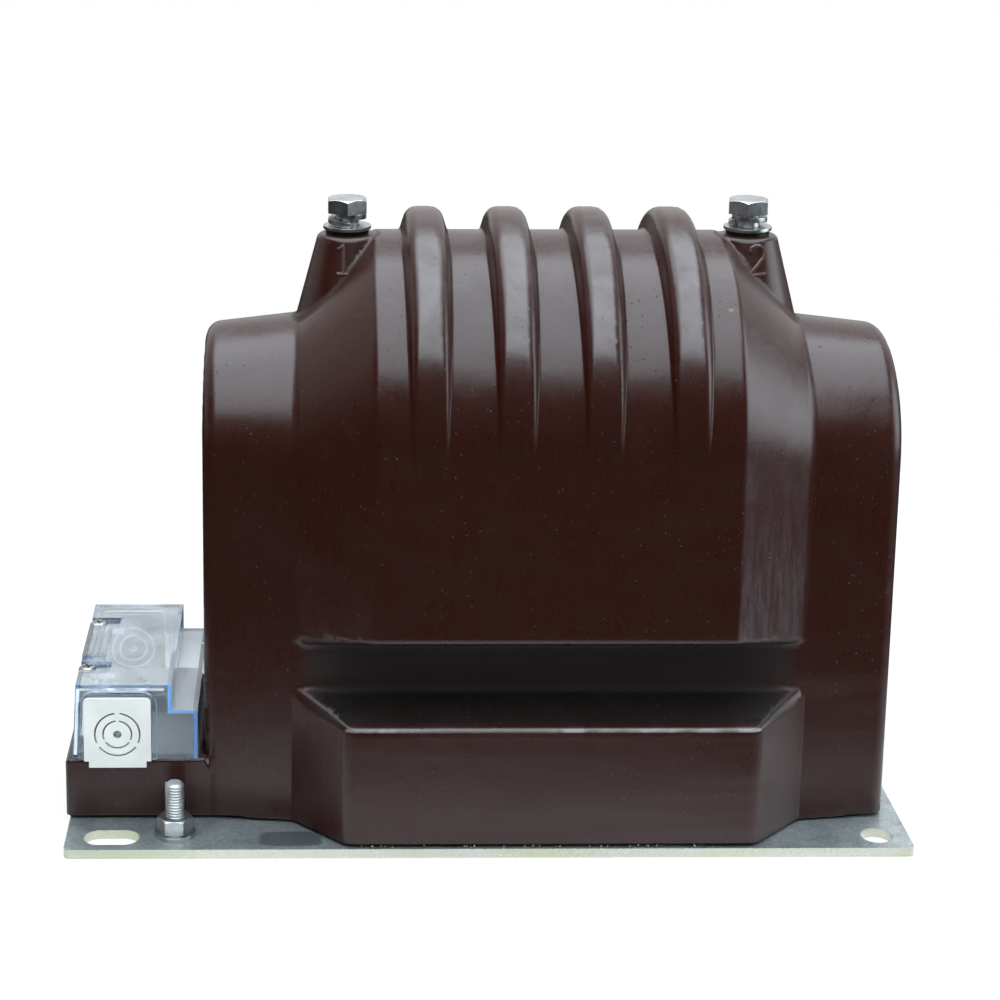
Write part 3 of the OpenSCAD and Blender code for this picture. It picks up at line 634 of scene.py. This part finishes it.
def grid_mesh(field, axes, name):
    """A closed quad skin where field(x, y, z), in millimetres, is zero, with the field's normals."""
    values = np.empty([len(a) for a in axes])
    for i, x in enumerate(axes[0]):
        values[i] = field(x, axes[1][:, None], axes[2][None, :])
    inside = values < 0
    shape = tuple(n - 1 for n in values.shape)
    offsets = [(i, j, k) for i in (0, 1) for j in (0, 1) for k in (0, 1)]
    corners = [values[i:i + shape[0], j:j + shape[1], k:k + shape[2]] for i, j, k in offsets]
    low, high = np.minimum.reduce(corners), np.maximum.reduce(corners)
    active = (low < 0) & (high >= 0)
    index = np.full(shape, -1)
    index[active] = np.arange(active.sum())
    cells = np.argwhere(active)
    total, count = np.zeros((len(cells), 3)), np.zeros(len(cells))
    picked = [c[active] for c in corners]
    for a in range(8):
        for b in range(a + 1, 8):
            if sum(abs(p - q) for p, q in zip(offsets[a], offsets[b])) != 1:
                continue
            va, vb = picked[a], picked[b]
            cross = (va < 0) != (vb < 0)
            t = np.where(cross, va / np.where(cross, va - vb, 1.0), 0.0)
            point = np.array(offsets[a]) + t[:, None] * (np.array(offsets[b]) - offsets[a])
            total += np.where(cross[:, None], point, 0.0)
            count += cross
    steps = np.stack([np.diff(a)[cells[:, i]] for i, a in enumerate(axes)], 1)
    points = np.stack([a[cells[:, i]] for i, a in enumerate(axes)], 1)
    points += total / count[:, None] * steps
    quads = []
    for axis in range(3):
        one, two = (axis + 1) % 3, (axis + 2) % 3
        first = inside.take(range(inside.shape[axis] - 1), axis)
        second = inside.take(range(1, inside.shape[axis]), axis)
        change = np.argwhere(first != second)
        starts_in = first[tuple(change.T)]
        keep = (change[:, one] > 0) & (change[:, two] > 0)
        keep &= (change[:, one] < shape[one]) & (change[:, two] < shape[two])
        change, starts_in = change[keep], starts_in[keep]
        ring = []
        for step_one, step_two in ((1, 1), (0, 1), (0, 0), (1, 0)):
            cell = change.copy()
            cell[:, one] -= step_one
            cell[:, two] -= step_two
            ring.append(index[tuple(cell.T)])
        quad = np.stack(ring, 1)
        quad[starts_in] = quad[starts_in][:, ::-1]
        quads.append(quad)
    quads = np.concatenate(quads)[:, ::-1]
    for _ in range(3):
        value, slope = slope_at(field, points)
        move = slope * (value / np.maximum((slope ** 2).sum(1), 0.2))[:, None]
        length = np.linalg.norm(move, axis=1)
        points -= move * np.minimum(1.0, 0.4 * steps.min(1) / np.maximum(length, 1e-9))[:, None]
    slope = slope_at(field, points)[1]
    normals = slope / np.maximum(np.linalg.norm(slope, axis=1), 1e-9)[:, None]
    mesh = bpy.data.meshes.new(name)
    mesh.from_pydata((points * MM).tolist(), [], quads.tolist())
    mesh.validate()
    mesh.shade_smooth()
    mesh.normals_split_custom_set_from_vertices(normals.tolist())
    return mesh


def slope_at(field, points):
    """The field's value and slope at the points."""
    x, y, z = points.T
    step = 0.15
    slope = np.stack([field(x + step, y, z) - field(x - step, y, z),
                      field(x, y + step, z) - field(x, y - step, z),
                      field(x, y, z + step) - field(x, y, z - step)], 1) / (2 * step)
    return field(x, y, z), slope


# The casting's form, from the same sizes as the solids, in millimetres

CAST_X, CAST_END, CAST_FOOT_Z = 25.0, 143.5, 5.0
BARREL_Y, END_Y, BARREL_Z = 50.5, 46.0, 160.5
COIL_Y, COIL_Z, COIL_FRONT_X, COIL_FLANK_X = 73.5, 173.0, 73.0, 105.0
COIL_LIP_Z, BEND, UNDERCUT = 92.5, 1.5, 0.36
FOOT_X, FOOT_Z = 83.5, 56.0
RIB_PITCH, RIB_R, RIB_Z = 34.5, 74.5, 182.0
PILLAR_X, PILLAR_R, PILLAR_Z, PILLAR_SPREAD = 84.0, 12.2, 246.5, 0.262
LEDGE_X, LEDGE_RIGHT, LEDGE_Z = -176.5, -110.0, 31.0
RIB_HALF, RIB_DRAFT, RIB_SLANT, PILLAR_SLANT = 10.0, 0.32, 0.952, 0.967
END_SOFT, HOUSING_SOFT, FOOT_SOFT, PILLAR_SOFT, LEDGE_SOFT, RIM_SOFT = 6.0, 2.2, 2.4, 1.6, 2.0, 0.8


def round_cut(a, b, r):
    """Where both a and b are inside, with a corner of radius r."""
    return (np.minimum(np.maximum(a, b), -r)
            + np.hypot(np.maximum(a + r, 0.0), np.maximum(b + r, 0.0)))


def round_join(a, b, r):
    """Where a or b is inside, with a fillet of radius r."""
    return (np.maximum(np.minimum(a, b), r)
            - np.hypot(np.maximum(r - a, 0.0), np.maximum(r - b, 0.0)))


def arch(y, z, axis_z):
    """Distance from a line along X, for a form that is round above it and straight below."""
    return np.where(z > axis_z, np.hypot(y, z - axis_z), np.abs(y) + 0.0 * z)


def casting_field(fillet):
    """The casting as a field that is negative inside it, with fillets of this radius."""
    flank_run = COIL_FLANK_X - COIL_FRONT_X

    def field(x, y, z):
        cx = x - CAST_X
        ax, ay = np.abs(cx), np.abs(y)
        taper = (BARREL_Y - END_Y) / (CAST_END - COIL_FLANK_X)
        limit = BARREL_Y - np.maximum(ax - COIL_FLANK_X, 0.0) * taper
        barrel = round_cut(arch(y, z, BARREL_Z) - limit, ax - CAST_END, END_SOFT)

        past = ax - COIL_FRONT_X + BEND
        t = np.where(past < 0, 0.0, np.where(past < 2 * BEND,
                                             past ** 2 / (4 * BEND * flank_run),
                                             (past - BEND) / flank_run))
        radius = COIL_Y + (BARREL_Y - COIL_Y) * t
        lean = np.cos(np.arctan((COIL_Y - BARREL_Y) / flank_run * np.minimum(past / (2 * BEND), 1.0)
                                * (past > 0)))
        shell = (arch(y, z, COIL_Z + (BARREL_Z - COIL_Z) * t) - radius) * lean
        under = (COIL_LIP_Z - UNDERCUT * (COIL_Y - ay) - z) * math.cos(math.atan(UNDERCUT))
        housing = round_cut(shell, under, HOUSING_SOFT)
        housing = np.maximum(housing, ax - 120.0)

        chamfer = (ax + ay - FOOT_X - COIL_Y) * math.sqrt(0.5)
        front = round_cut(ay - COIL_Y, chamfer, FOOT_SOFT)
        top = (z - FOOT_Z - UNDERCUT * (COIL_Y - ay)) * math.cos(math.atan(UNDERCUT))
        soft = np.clip(1.5 + 0.14 * (COIL_Y - ay), 1.5, 3.4)
        foot = np.maximum(round_cut(front, top, soft), ax - FOOT_X - COIL_Y + BARREL_Y)

        solid = round_join(barrel, housing, fillet)
        solid = round_join(solid, foot, 0.3 * fillet)
        q = np.hypot(y, z - RIB_Z)
        for i in range(4):
            rx = np.abs(cx - (i - 1.5) * RIB_PITCH)
            flank = (rx - RIB_HALF + (q - RIB_R + RIB_HALF) * RIB_DRAFT) * RIB_SLANT
            rib = round_cut(flank, q - RIB_R, np.clip(1.0 + 0.05 * (z - 180.0), 1.0, 3.6))
            solid = round_join(solid, rib, 0.65 * fillet)
        p = np.hypot(ax - PILLAR_X, y)
        cone = (p - PILLAR_R - PILLAR_SPREAD * (PILLAR_Z - z)) * PILLAR_SLANT
        pillar = round_cut(cone, z - PILLAR_Z, PILLAR_SOFT)
        pillar = np.maximum(pillar, 150.0 - z)
        solid = round_join(solid, pillar, fillet + 0.4)
        ledge = round_cut(ay - END_Y, LEDGE_X - x, LEDGE_SOFT)
        ledge = round_cut(ledge, z - LEDGE_Z, RIM_SOFT)
        ledge = np.maximum(ledge, x - LEDGE_RIGHT)
        solid = round_join(solid, ledge, 1.0)
        return round_cut(solid, CAST_FOOT_Z - z, RIM_SOFT)
    return field


# Operators

def settings():
    return bpy.context.scene.transformer


class TRANSFORMER_OT_casting(bpy.types.Operator):
    """Makes the moulded skin of the resin casting, with soft corners and fillets"""
    bl_idname = "transformer.casting"
    bl_label = "Resin casting"

    def execute(self, context):
        resin = settings().resin
        mesh = grid_mesh(casting_field(resin.fillet_mm), self.grid(resin), "resin_skin")
        made = add_object("resin_skin", mesh)
        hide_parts("resin_casting")
        dress(made, "cast_resin", resin_finish(resin))
        return {"FINISHED"}

    @staticmethod
    def grid(resin):
        """Grid lines along X, Y and Z, close together where the casting has edges and fillets."""
        fine = resin.cell_mm * 1.0
        sides = [(s * place, reach, fine) for s in (-1, 1)
                 for place, reach in ((COIL_FRONT_X, 2.5), (FOOT_X, 2.5), (COIL_FLANK_X, 3.5),
                                      (CAST_END - 3.0, 4.0))]
        ribs = [((i - 1.5) * RIB_PITCH + s * 8.5, 4.0, fine) for i in range(4) for s in (-1, 1)]
        pillars = [(s * (PILLAR_X + 4.0), 19.0, 2.3 * fine) for s in (-1, 1)]
        along = [(CAST_X + place, reach, spacing) for place, reach, spacing in sides + ribs + pillars]
        deep = [(s * place, 2.2, fine) for s in (-1, 1)
                for place in (COIL_Y - 1.5, BARREL_Y, END_Y)] + [(0.0, 19.0, 2.0 * fine)]
        inner = UNDERCUT * (COIL_Y - BARREL_Y)
        tall = [(place, 2.2, fine) for place in (CAST_FOOT_Z, LEDGE_Z, FOOT_Z - 1.0, FOOT_Z + inner,
                                                 COIL_LIP_Z - inner, COIL_LIP_Z + 1.0,
                                                 PILLAR_Z - 1.0)]
        tall.append((PILLAR_Z - 18.0, 20.0, 2.0 * fine))
        low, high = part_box("resin_casting")
        pad = 6.0 * fine
        return [graded(start / MM - pad, stop / MM + pad, coarse * fine, zones)
                for start, stop, coarse, zones in zip(low, high, (3.4, 5.0, 5.5), (along, deep, tall))]


class TRANSFORMER_OT_marks(bpy.types.Operator):
    """Makes the plain raised numerals on the front of the terminal pillars"""
    bl_idname = "transformer.marks"
    bl_label = "Terminal numerals"

    # Side, shift along the pillar's face and strokes, in mm from the numeral's middle
    numerals = {
        "numeral_1": (-1, -2.0, [[(-1.8, 3.6), (0.4, 5.2), (0.4, -5.2)], [(-2.2, -5.2), (3.0, -5.2)]]),
        "numeral_2": (1, 2.0, [[(-3.0, 3.0), (-2.3, 4.6), (-0.8, 5.3), (1.0, 5.2), (2.5, 4.2),
                                (2.9, 2.6), (2.2, 0.8), (-3.0, -5.2)], [(-3.0, -5.2), (3.2, -5.2)]]),
    }
    scale, stroke_mm, middle_z, parts = 1.1, 0.85, PILLAR_Z - 8.4, 6

    def execute(self, context):
        material = bpy.data.materials["cast_resin"]
        for name, (side, shift, strokes) in self.numerals.items():
            curve = bpy.data.curves.new(name, "CURVE")
            curve.dimensions, curve.bevel_resolution, curve.use_fill_caps = "3D", 2, True
            curve.bevel_depth = self.stroke_mm * MM
            for stroke in strokes:
                corners = [Vector(corner) * self.scale for corner in stroke]
                line = [a.lerp(b, k / self.parts) for a, b in zip(corners, corners[1:])
                        for k in range(self.parts)] + corners[-1:]
                spline = curve.splines.new("POLY")
                spline.points.add(len(line) - 1)
                for point, (u, v) in zip(spline.points, line):
                    z = self.middle_z + v
                    radius = PILLAR_R + PILLAR_SPREAD * (PILLAR_Z - z)
                    angle = (u + shift) / radius
                    x = CAST_X + side * PILLAR_X + radius * math.sin(angle)
                    point.co = (x * MM, -radius * math.cos(angle) * MM, z * MM, 1.0)
            made = plain(add_object(name, curve))
            dress(smooth(made), "cast_resin", material)
        return {"FINISHED"}


class TRANSFORMER_OT_plate(bpy.types.Operator):
    """Rounds the base plate's edges and gives it its passivated zinc"""
    bl_idname = "transformer.plate"
    bl_label = "Base plate"

    def execute(self, context):
        dress(softened("base_plate", "plate_softened", 0.0004), "plate_zinc", plate_finish())
        return {"FINISHED"}


class TRANSFORMER_OT_hardware(bpy.types.Operator):
    """Rounds the edges of bolts, nut and washers"""
    bl_idname = "transformer.hardware"
    bl_label = "Bolts and washers"

    def execute(self, context):
        edge = settings().hardware.edge
        zinc, spring = zinc_finish(), spring_finish()
        for side in ("left", "right"):
            for part, look in (("bolt", zinc), ("flat_washer", zinc), ("spring_washer", spring)):
                node = f"hv_{part}_{side}"
                dress(softened(node, f"{node}_softened", edge), "zinc_plated_steel", look)
        for node in ("earth_nut", "earth_washer"):
            dress(softened(node, f"{node}_softened", edge), "zinc_plated_steel", zinc)
        return {"FINISHED"}


def new_tree(name, **sockets):
    """A geometry tree with named inputs, each a kind and a default, and their sockets inside it."""
    tree = bpy.data.node_groups.new(name, "GeometryNodeTree")
    for key, (kind, value) in sockets.items():
        socket = tree.interface.new_socket(key, in_out="INPUT", socket_type="NodeSocket" + kind)
        socket.default_value = value
    tree.interface.new_socket("Geometry", in_out="OUTPUT", socket_type="NodeSocketGeometry")
    return tree, tree.nodes.new("NodeGroupInput").outputs


def grow(tree, kind, inputs, **settings):
    """Adds a node with its settings and the links or values of its inputs, and gives its output."""
    made = tree.nodes.new(kind)
    for key, value in settings.items():
        setattr(made, key, value)
    for key, value in inputs.items():
        if isinstance(value, bpy.types.NodeSocket):
            tree.links.new(value, made.inputs[key])
        else:
            made.inputs[key].default_value = value
    return made.outputs[0] if made.outputs else None


def ended(tree, shape, material):
    """Ends a tree: its instances are made real and get their material."""
    real = grow(tree, "GeometryNodeRealizeInstances", {0: shape})
    painted = grow(tree, "GeometryNodeSetMaterial", {0: real, "Material": material})
    grow(tree, "NodeGroupOutput", {0: painted})
    return tree


def thread_tree(material):
    """A helical ridge with a V profile: inputs are its turns, radius, height and ridge size."""
    tree, given = new_tree("thread_ridge", Turns=("Float", 10.0), Radius=("Float", 0.0034),
                           Height=("Float", 0.02), Ridge=("Float", 0.0006))
    spiral = grow(tree, "GeometryNodeCurveSpiral", {
        "Resolution": 32, "Rotations": given["Turns"], "Start Radius": given["Radius"],
        "End Radius": given["Radius"], "Height": given["Height"]})
    upright = grow(tree, "GeometryNodeSetCurveNormal", {"Curve": spiral}, mode="Z_UP")
    profile = grow(tree, "GeometryNodeCurvePrimitiveCircle", {
        "Resolution": 4, "Radius": given["Ridge"]})
    ridge = grow(tree, "GeometryNodeCurveToMesh", {
        "Curve": upright, "Profile Curve": profile, "Fill Caps": True})
    return ended(tree, ridge, material)


def from_tree(name, tree, values):
    """Runs a tree on an empty mesh and keeps its result as a plain mesh."""
    made = add_object(name, bpy.data.meshes.new(name))
    modifier = made.modifiers.new("made", "NODES")
    modifier.node_group = tree
    for item in tree.interface.items_tree:
        if item.item_type == "SOCKET" and item.in_out == "INPUT" and item.name in values:
            modifier[item.identifier] = values[item.name]
    return plain(made)


class TRANSFORMER_OT_stud(bpy.types.Operator):
    """Makes the earth stud with its thread"""
    bl_idname = "transformer.stud"
    bl_label = "Earth stud"

    def execute(self, context):
        hardware = settings().hardware
        zinc = zinc_finish("thread_zinc", 0.46)
        low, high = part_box("earth_stud")
        x, y = (low.x + high.x) / 2, (low.y + high.y) / 2
        root, ridge, start = 3.42 * MM, 0.58 * MM, 4.5 * MM
        profile = [(0.0, 0.0), (5.5, 0.0), (5.5, 1.8), (4.25, 1.8), (4.25, 4.0), (3.42, 4.0),
                   (3.42, 26.2), (3.0, 26.75), (2.7, high.z / MM), (0.0, high.z / MM)]
        bm = bmesh.new()
        ring = [bm.verts.new((r * MM, 0.0, z * MM)) for r, z in profile]
        edges = [bm.edges.new(pair) for pair in zip(ring, ring[1:])]
        bmesh.ops.spin(bm, geom=ring + edges, axis=(0, 0, 1), cent=(0, 0, 0),
                       angle=2 * math.pi, steps=48)
        bmesh.ops.remove_doubles(bm, verts=bm.verts, dist=1e-6)
        bmesh.ops.recalc_face_normals(bm, faces=bm.faces)
        bmesh.ops.translate(bm, verts=bm.verts, vec=(x, y, 0))
        mesh = bpy.data.meshes.new("stud_core")
        bm.to_mesh(mesh)
        bm.free()
        core = smooth(add_object("stud_core", mesh))
        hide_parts("earth_stud")
        dress(core, "zinc_plated_steel", zinc)
        length = high.z - start - ridge
        thread = from_tree("stud_thread", thread_tree(zinc), {
            "Turns": length / hardware.pitch, "Radius": root, "Height": length, "Ridge": ridge})
        thread.data.transform(Matrix.Translation((x, y, start)))
        dress(smooth(thread, 50.0), "zinc_plated_steel", zinc)
        return {"FINISHED"}


def crumb_tree(material):
    """Crumbs along a line: inputs are their number, the line's start and step, size and a seed."""
    tree, given = new_tree("flash_crumbs", Count=("Int", 60), Start=("Vector", (0, 0, 0)),
                           Step=("Vector", (0.001, 0, 0)), Size=("Float", 0.0005), Seed=("Int", 3))

    def random(low, high, shift):
        """A vector between low and high for each crumb. The shift keeps the draws apart."""
        seed = grow(tree, "ShaderNodeMath", {0: given["Seed"], 1: shift})
        return grow(tree, "FunctionNodeRandomValue", {0: low, 1: high, "Seed": seed},
                    data_type="FLOAT_VECTOR")

    line = grow(tree, "GeometryNodeMeshLine", {
        "Count": given["Count"], "Start Location": given["Start"], "Offset": given["Step"]})
    moved = grow(tree, "GeometryNodeSetPosition", {
        "Geometry": line, "Offset": random((-0.012, -0.0003, -0.0003), (0.012, 0.0004, 0.0003), 1)})
    crumb = grow(tree, "GeometryNodeMeshIcoSphere", {"Subdivisions": 1, "Radius": given["Size"]})
    placed = grow(tree, "GeometryNodeInstanceOnPoints", {
        "Points": moved, "Instance": crumb, "Rotation": random((0, 0, 0), (6.28, 6.28, 6.28), 2),
        "Scale": random((0.2, 0.2, 0.2), (1.5, 0.8, 0.7), 3)})
    return ended(tree, placed, material)


class TRANSFORMER_OT_crumbs(bpy.types.Operator):
    """Makes the pale crumbs of resin flash along the foot's lower front edge"""
    bl_idname = "transformer.crumbs"
    bl_label = "Flash crumbs"

    def execute(self, context):
        count = settings().hardware.crumbs
        if count < 2:
            return {"FINISHED"}
        material = plastic_finish("resin_flash", (0.34, 0.31, 0.29), 0.7, 0.5)
        left, right = -0.056, 0.106
        made = from_tree("flash_crumbs", crumb_tree(material), {
            "Count": count, "Start": (left, -0.0732, 0.0048),
            "Step": ((right - left) / (count - 1), 0.0, 0.0), "Size": 0.0005, "Seed": 7})
        dress(made, "cast_resin", material)
        return {"FINISHED"}


class TRANSFORMER_OT_wiring(bpy.types.Operator):
    """Dresses the clear cover, the gland plates, the tray and the terminals under the cover"""
    bl_idname = "transformer.wiring"
    bl_label = "Wiring space"

    def execute(self, context):
        cover = softened("terminal_cover", "cover_clear", 0.0006, 1, 40.0, 1)
        for face in cover.data.polygons:
            x, y, z = face.center
            if x < -0.160 and abs(y) < 0.0185 and z > 0.0635:  # the grip flap stays clear
                face.material_index = 0
        look = settings().cover
        dress(cover, "clear_plastic", clear_finish(look), rim_finish(look))
        white = gland_finish()
        for side in ("front", "rear"):
            dress(softened(f"gland_plate_{side}", f"gland_{side}", 0.00022), "white_plastic", white)
            dress(softened(f"cover_screw_{side}", f"cover_screw_{side}_softened", 0.0002),
                  "zinc_plated_steel", bpy.data.materials["spring_steel"])
        grey = plastic_finish("tray_grey", (0.17, 0.18, 0.19), 0.5)
        dress(softened("terminal_tray", "tray_softened", 0.0003), "grey_plastic", grey)
        for number in range(1, 5):
            dress(softened(f"lv_screw_{number}", f"terminal_screw_{number}", 0.0002),
                  "zinc_plated_steel", bpy.data.materials["bright_zinc"])
        return {"FINISHED"}


class TRANSFORMER_OT_solids(bpy.types.Operator):
    """Gives every CAD node that is still shown its own finish"""
    bl_idname = "transformer.solids"
    bl_label = "Remaining solids"

    def execute(self, context):
        brass, zinc = brass_finish(), bpy.data.materials["bright_zinc"]
        copper = winding_finish("copper_turns", (0.45, 0.16, 0.07), 260.0)
        wire = winding_finish("copper_wire", (0.50, 0.20, 0.09), 900.0)
        strip, board = strip_finish(), board_finish()
        spring = bpy.data.materials["spring_steel"]
        for name, node in NODES.items():
            if node.hide_render:
                continue
            if name.startswith("core_"):
                look = zinc if name == "core_band" else strip
            elif name.endswith("_winding"):
                look = copper
            elif "_lead_" in name:
                look = wire
            elif name == "winding_tube":
                look = board
            elif "insert" in name:
                look = brass
            elif "spring" in name:
                look = spring
            else:
                look = zinc
            if not node.material_slots:
                node.data.materials.append(look)
            for slot in node.material_slots:
                slot.material = look
        return {"FINISHED"}


class TRANSFORMER_OT_stage(bpy.types.Operator):
    """Makes the pale floor, the soft lamps and the camera"""
    bl_idname = "transformer.stage"
    bl_label = "Stage"

    def execute(self, context):
        stage = settings().stage
        self.floor(stage)
        self.world(stage)
        self.lamp("overhead", stage.key, (1.5, 1.35), (0.03, -0.02, 1.15), (0.03, 0.02, 0.15))
        self.lamp("front_high", stage.front, (1.5, 0.54), (0.0, -1.00, 1.10), (0.03, -0.06, 0.20))
        self.lamp("side_left", stage.left, (0.7, 0.9), (-1.25, 0.15, 0.55), (0.0, 0.0, 0.12))
        self.lamp("side_right", stage.right, (0.8, 0.8), (1.20, -0.15, 0.40), (0.05, 0.0, 0.14))
        self.camera()
        return {"FINISHED"}

    def floor(self, stage):
        mesh = bpy.data.meshes.new("floor")
        reach = 6.0
        mesh.from_pydata([(-reach, -reach, 0), (reach, -reach, 0), (reach, reach, 0),
                          (-reach, reach, 0)], [], [(0, 1, 2, 3)])
        floor = add_object("floor", mesh)
        f = Finish("floor_pale", tuple(stage.floor), 0.8)
        path = f.node("ShaderNodeLightPath")
        seen, gloss = path.out("Is Camera Ray"), path.out("Is Glossy Ray")
        away = f.node("ShaderNodeVectorMath", {"operation": "LENGTH"},
                      {0: f.stretched((0.6, 1.0, 1.0))}).out("Value")
        white, dim = (f.shader("Emission", (1, 1, 1), Strength=strength) for strength in (1.0, 0.03))
        f.covered((seen * (0.80 + away.ramp(0.4, 0.9) * 0.20), white),
                  (gloss * away.ramp(0.09, 0.22), dim))
        floor.data.materials.append(f.material)

    def world(self, stage):
        """White to the camera, pale grey through glass, a dark room and pale backdrop in gloss."""
        world = bpy.data.worlds.new("studio")
        world.use_nodes = True
        bpy.context.scene.world = world
        tree = world.node_tree
        tree.nodes.clear()

        def background(strength, colour=(1.0, 1.0, 1.0)):
            made = tree.nodes.new("ShaderNodeBackground")
            made.inputs["Color"].default_value = (*colour, 1.0)
            made.inputs["Strength"].default_value = strength
            return made.outputs[0]

        def mixed(factor, a, b):
            made = tree.nodes.new("ShaderNodeMixShader")
            for socket, value in zip(made.inputs, (factor, a, b)):
                tree.links.new(value, socket)
            return made.outputs[0]

        cool = (0.94, 0.96, 1.0)
        fill, room = background(stage.world, cool), background(stage.room, cool)
        backdrop, white = background(0.9), background(1.0)
        behind = background(0.60, (0.97, 0.99, 1.0))
        path = tree.nodes.new("ShaderNodeLightPath")
        split = tree.nodes.new("ShaderNodeSeparateXYZ")
        way = tree.nodes.new("ShaderNodeTexCoord")
        tree.links.new(way.outputs["Generated"], split.inputs[0])
        rear = tree.nodes.new("ShaderNodeMapRange")
        rear.interpolation_type = "SMOOTHSTEP"
        rear.inputs["From Min"].default_value, rear.inputs["From Max"].default_value = 0.0, 0.9
        tree.links.new(split.outputs[1], rear.inputs["Value"])
        studio = mixed(rear.outputs[0], room, backdrop)
        light = mixed(path.outputs["Is Glossy Ray"], fill, studio)
        light = mixed(path.outputs["Is Transmission Ray"], light, behind)
        light = mixed(path.outputs["Is Camera Ray"], light, white)
        out = tree.nodes.new("ShaderNodeOutputWorld")
        tree.links.new(light, out.inputs["Surface"])

    def lamp(self, name, power, size, place, target):
        data = bpy.data.lights.new(name, "AREA")
        data.shape, data.size, data.size_y, data.energy = "RECTANGLE", size[0], size[1], power
        data.color = (0.84, 0.93, 1.0)
        lamp = add_object(name, data)
        lamp.location = place
        way = Vector(target) - Vector(place)
        lamp.rotation_euler = way.to_track_quat("-Z", "Y").to_euler()

    def camera(self):
        """The camera that fits the photograph, in its pixels, radians and millimetres."""
        focal, cx, cy = 2291.75, 357.1, 245.8
        pitch, yaw, roll = 0.2157, -0.0189, -0.0061
        place = Vector((-72.54, -937.9, 446.4)) * MM
        size, sensor = 1000.0, 36.0
        data = bpy.data.cameras.new("camera")
        data.sensor_fit, data.sensor_width = "HORIZONTAL", sensor
        data.lens = sensor * focal / size
        data.shift_x = (size / 2 - cx) / size
        data.shift_y = (cy - size / 2) / size
        data.clip_start, data.clip_end = 0.05, 50.0
        camera = add_object("camera", data)
        right = Vector((math.cos(yaw), math.sin(yaw), 0.0))
        level = Vector((-math.sin(yaw), math.cos(yaw), 0.0))
        ahead = level * math.cos(pitch) - Vector((0, 0, 1)) * math.sin(pitch)
        down = ahead.cross(right)
        turned = right * math.cos(roll) + down * math.sin(roll)
        low = down * math.cos(roll) - right * math.sin(roll)
        turn = Matrix((turned, -low, -ahead)).transposed()
        camera.matrix_world = Matrix.Translation(place) @ turn.to_4x4()
        bpy.context.scene.camera = camera
        bpy.context.scene.view_settings.view_transform = "Standard"


class TRANSFORMER_PT_panel(bpy.types.Panel):
    """Lists the pieces of the transformer and their settings"""
    bl_idname = "TRANSFORMER_PT_panel"
    bl_label = "Transformer"
    bl_space_type = "VIEW_3D"
    bl_region_type = "UI"
    bl_category = "Transformer"

    def draw(self, context):
        for operator in STEPS:
            self.layout.operator(operator.bl_idname)
        groups = context.scene.transformer
        for name in ("resin", "hardware", "cover", "stage"):
            box = self.layout.box()
            box.label(text=name.capitalize())
            group = getattr(groups, name)
            for key in group.__annotations__:
                box.prop(group, key)


STEPS = (TRANSFORMER_OT_stage, TRANSFORMER_OT_casting, TRANSFORMER_OT_marks, TRANSFORMER_OT_plate,
         TRANSFORMER_OT_hardware, TRANSFORMER_OT_stud, TRANSFORMER_OT_crumbs,
         TRANSFORMER_OT_wiring, TRANSFORMER_OT_solids)
CLASSES = (ResinSettings, HardwareSettings, CoverSettings, StageSettings, TransformerSettings,
           *STEPS, TRANSFORMER_PT_panel)


def register():
    for item in CLASSES:
        bpy.utils.register_class(item)
    bpy.types.Scene.transformer = PointerProperty(type=TransformerSettings)


def unregister():
    del bpy.types.Scene.transformer
    for item in reversed(CLASSES):
        bpy.utils.unregister_class(item)


def main():
    register()
    for step in STEPS:
        group, name = step.bl_idname.split(".")
        getattr(getattr(bpy.ops, group), name)()


if __name__ == "__main__":
    main()
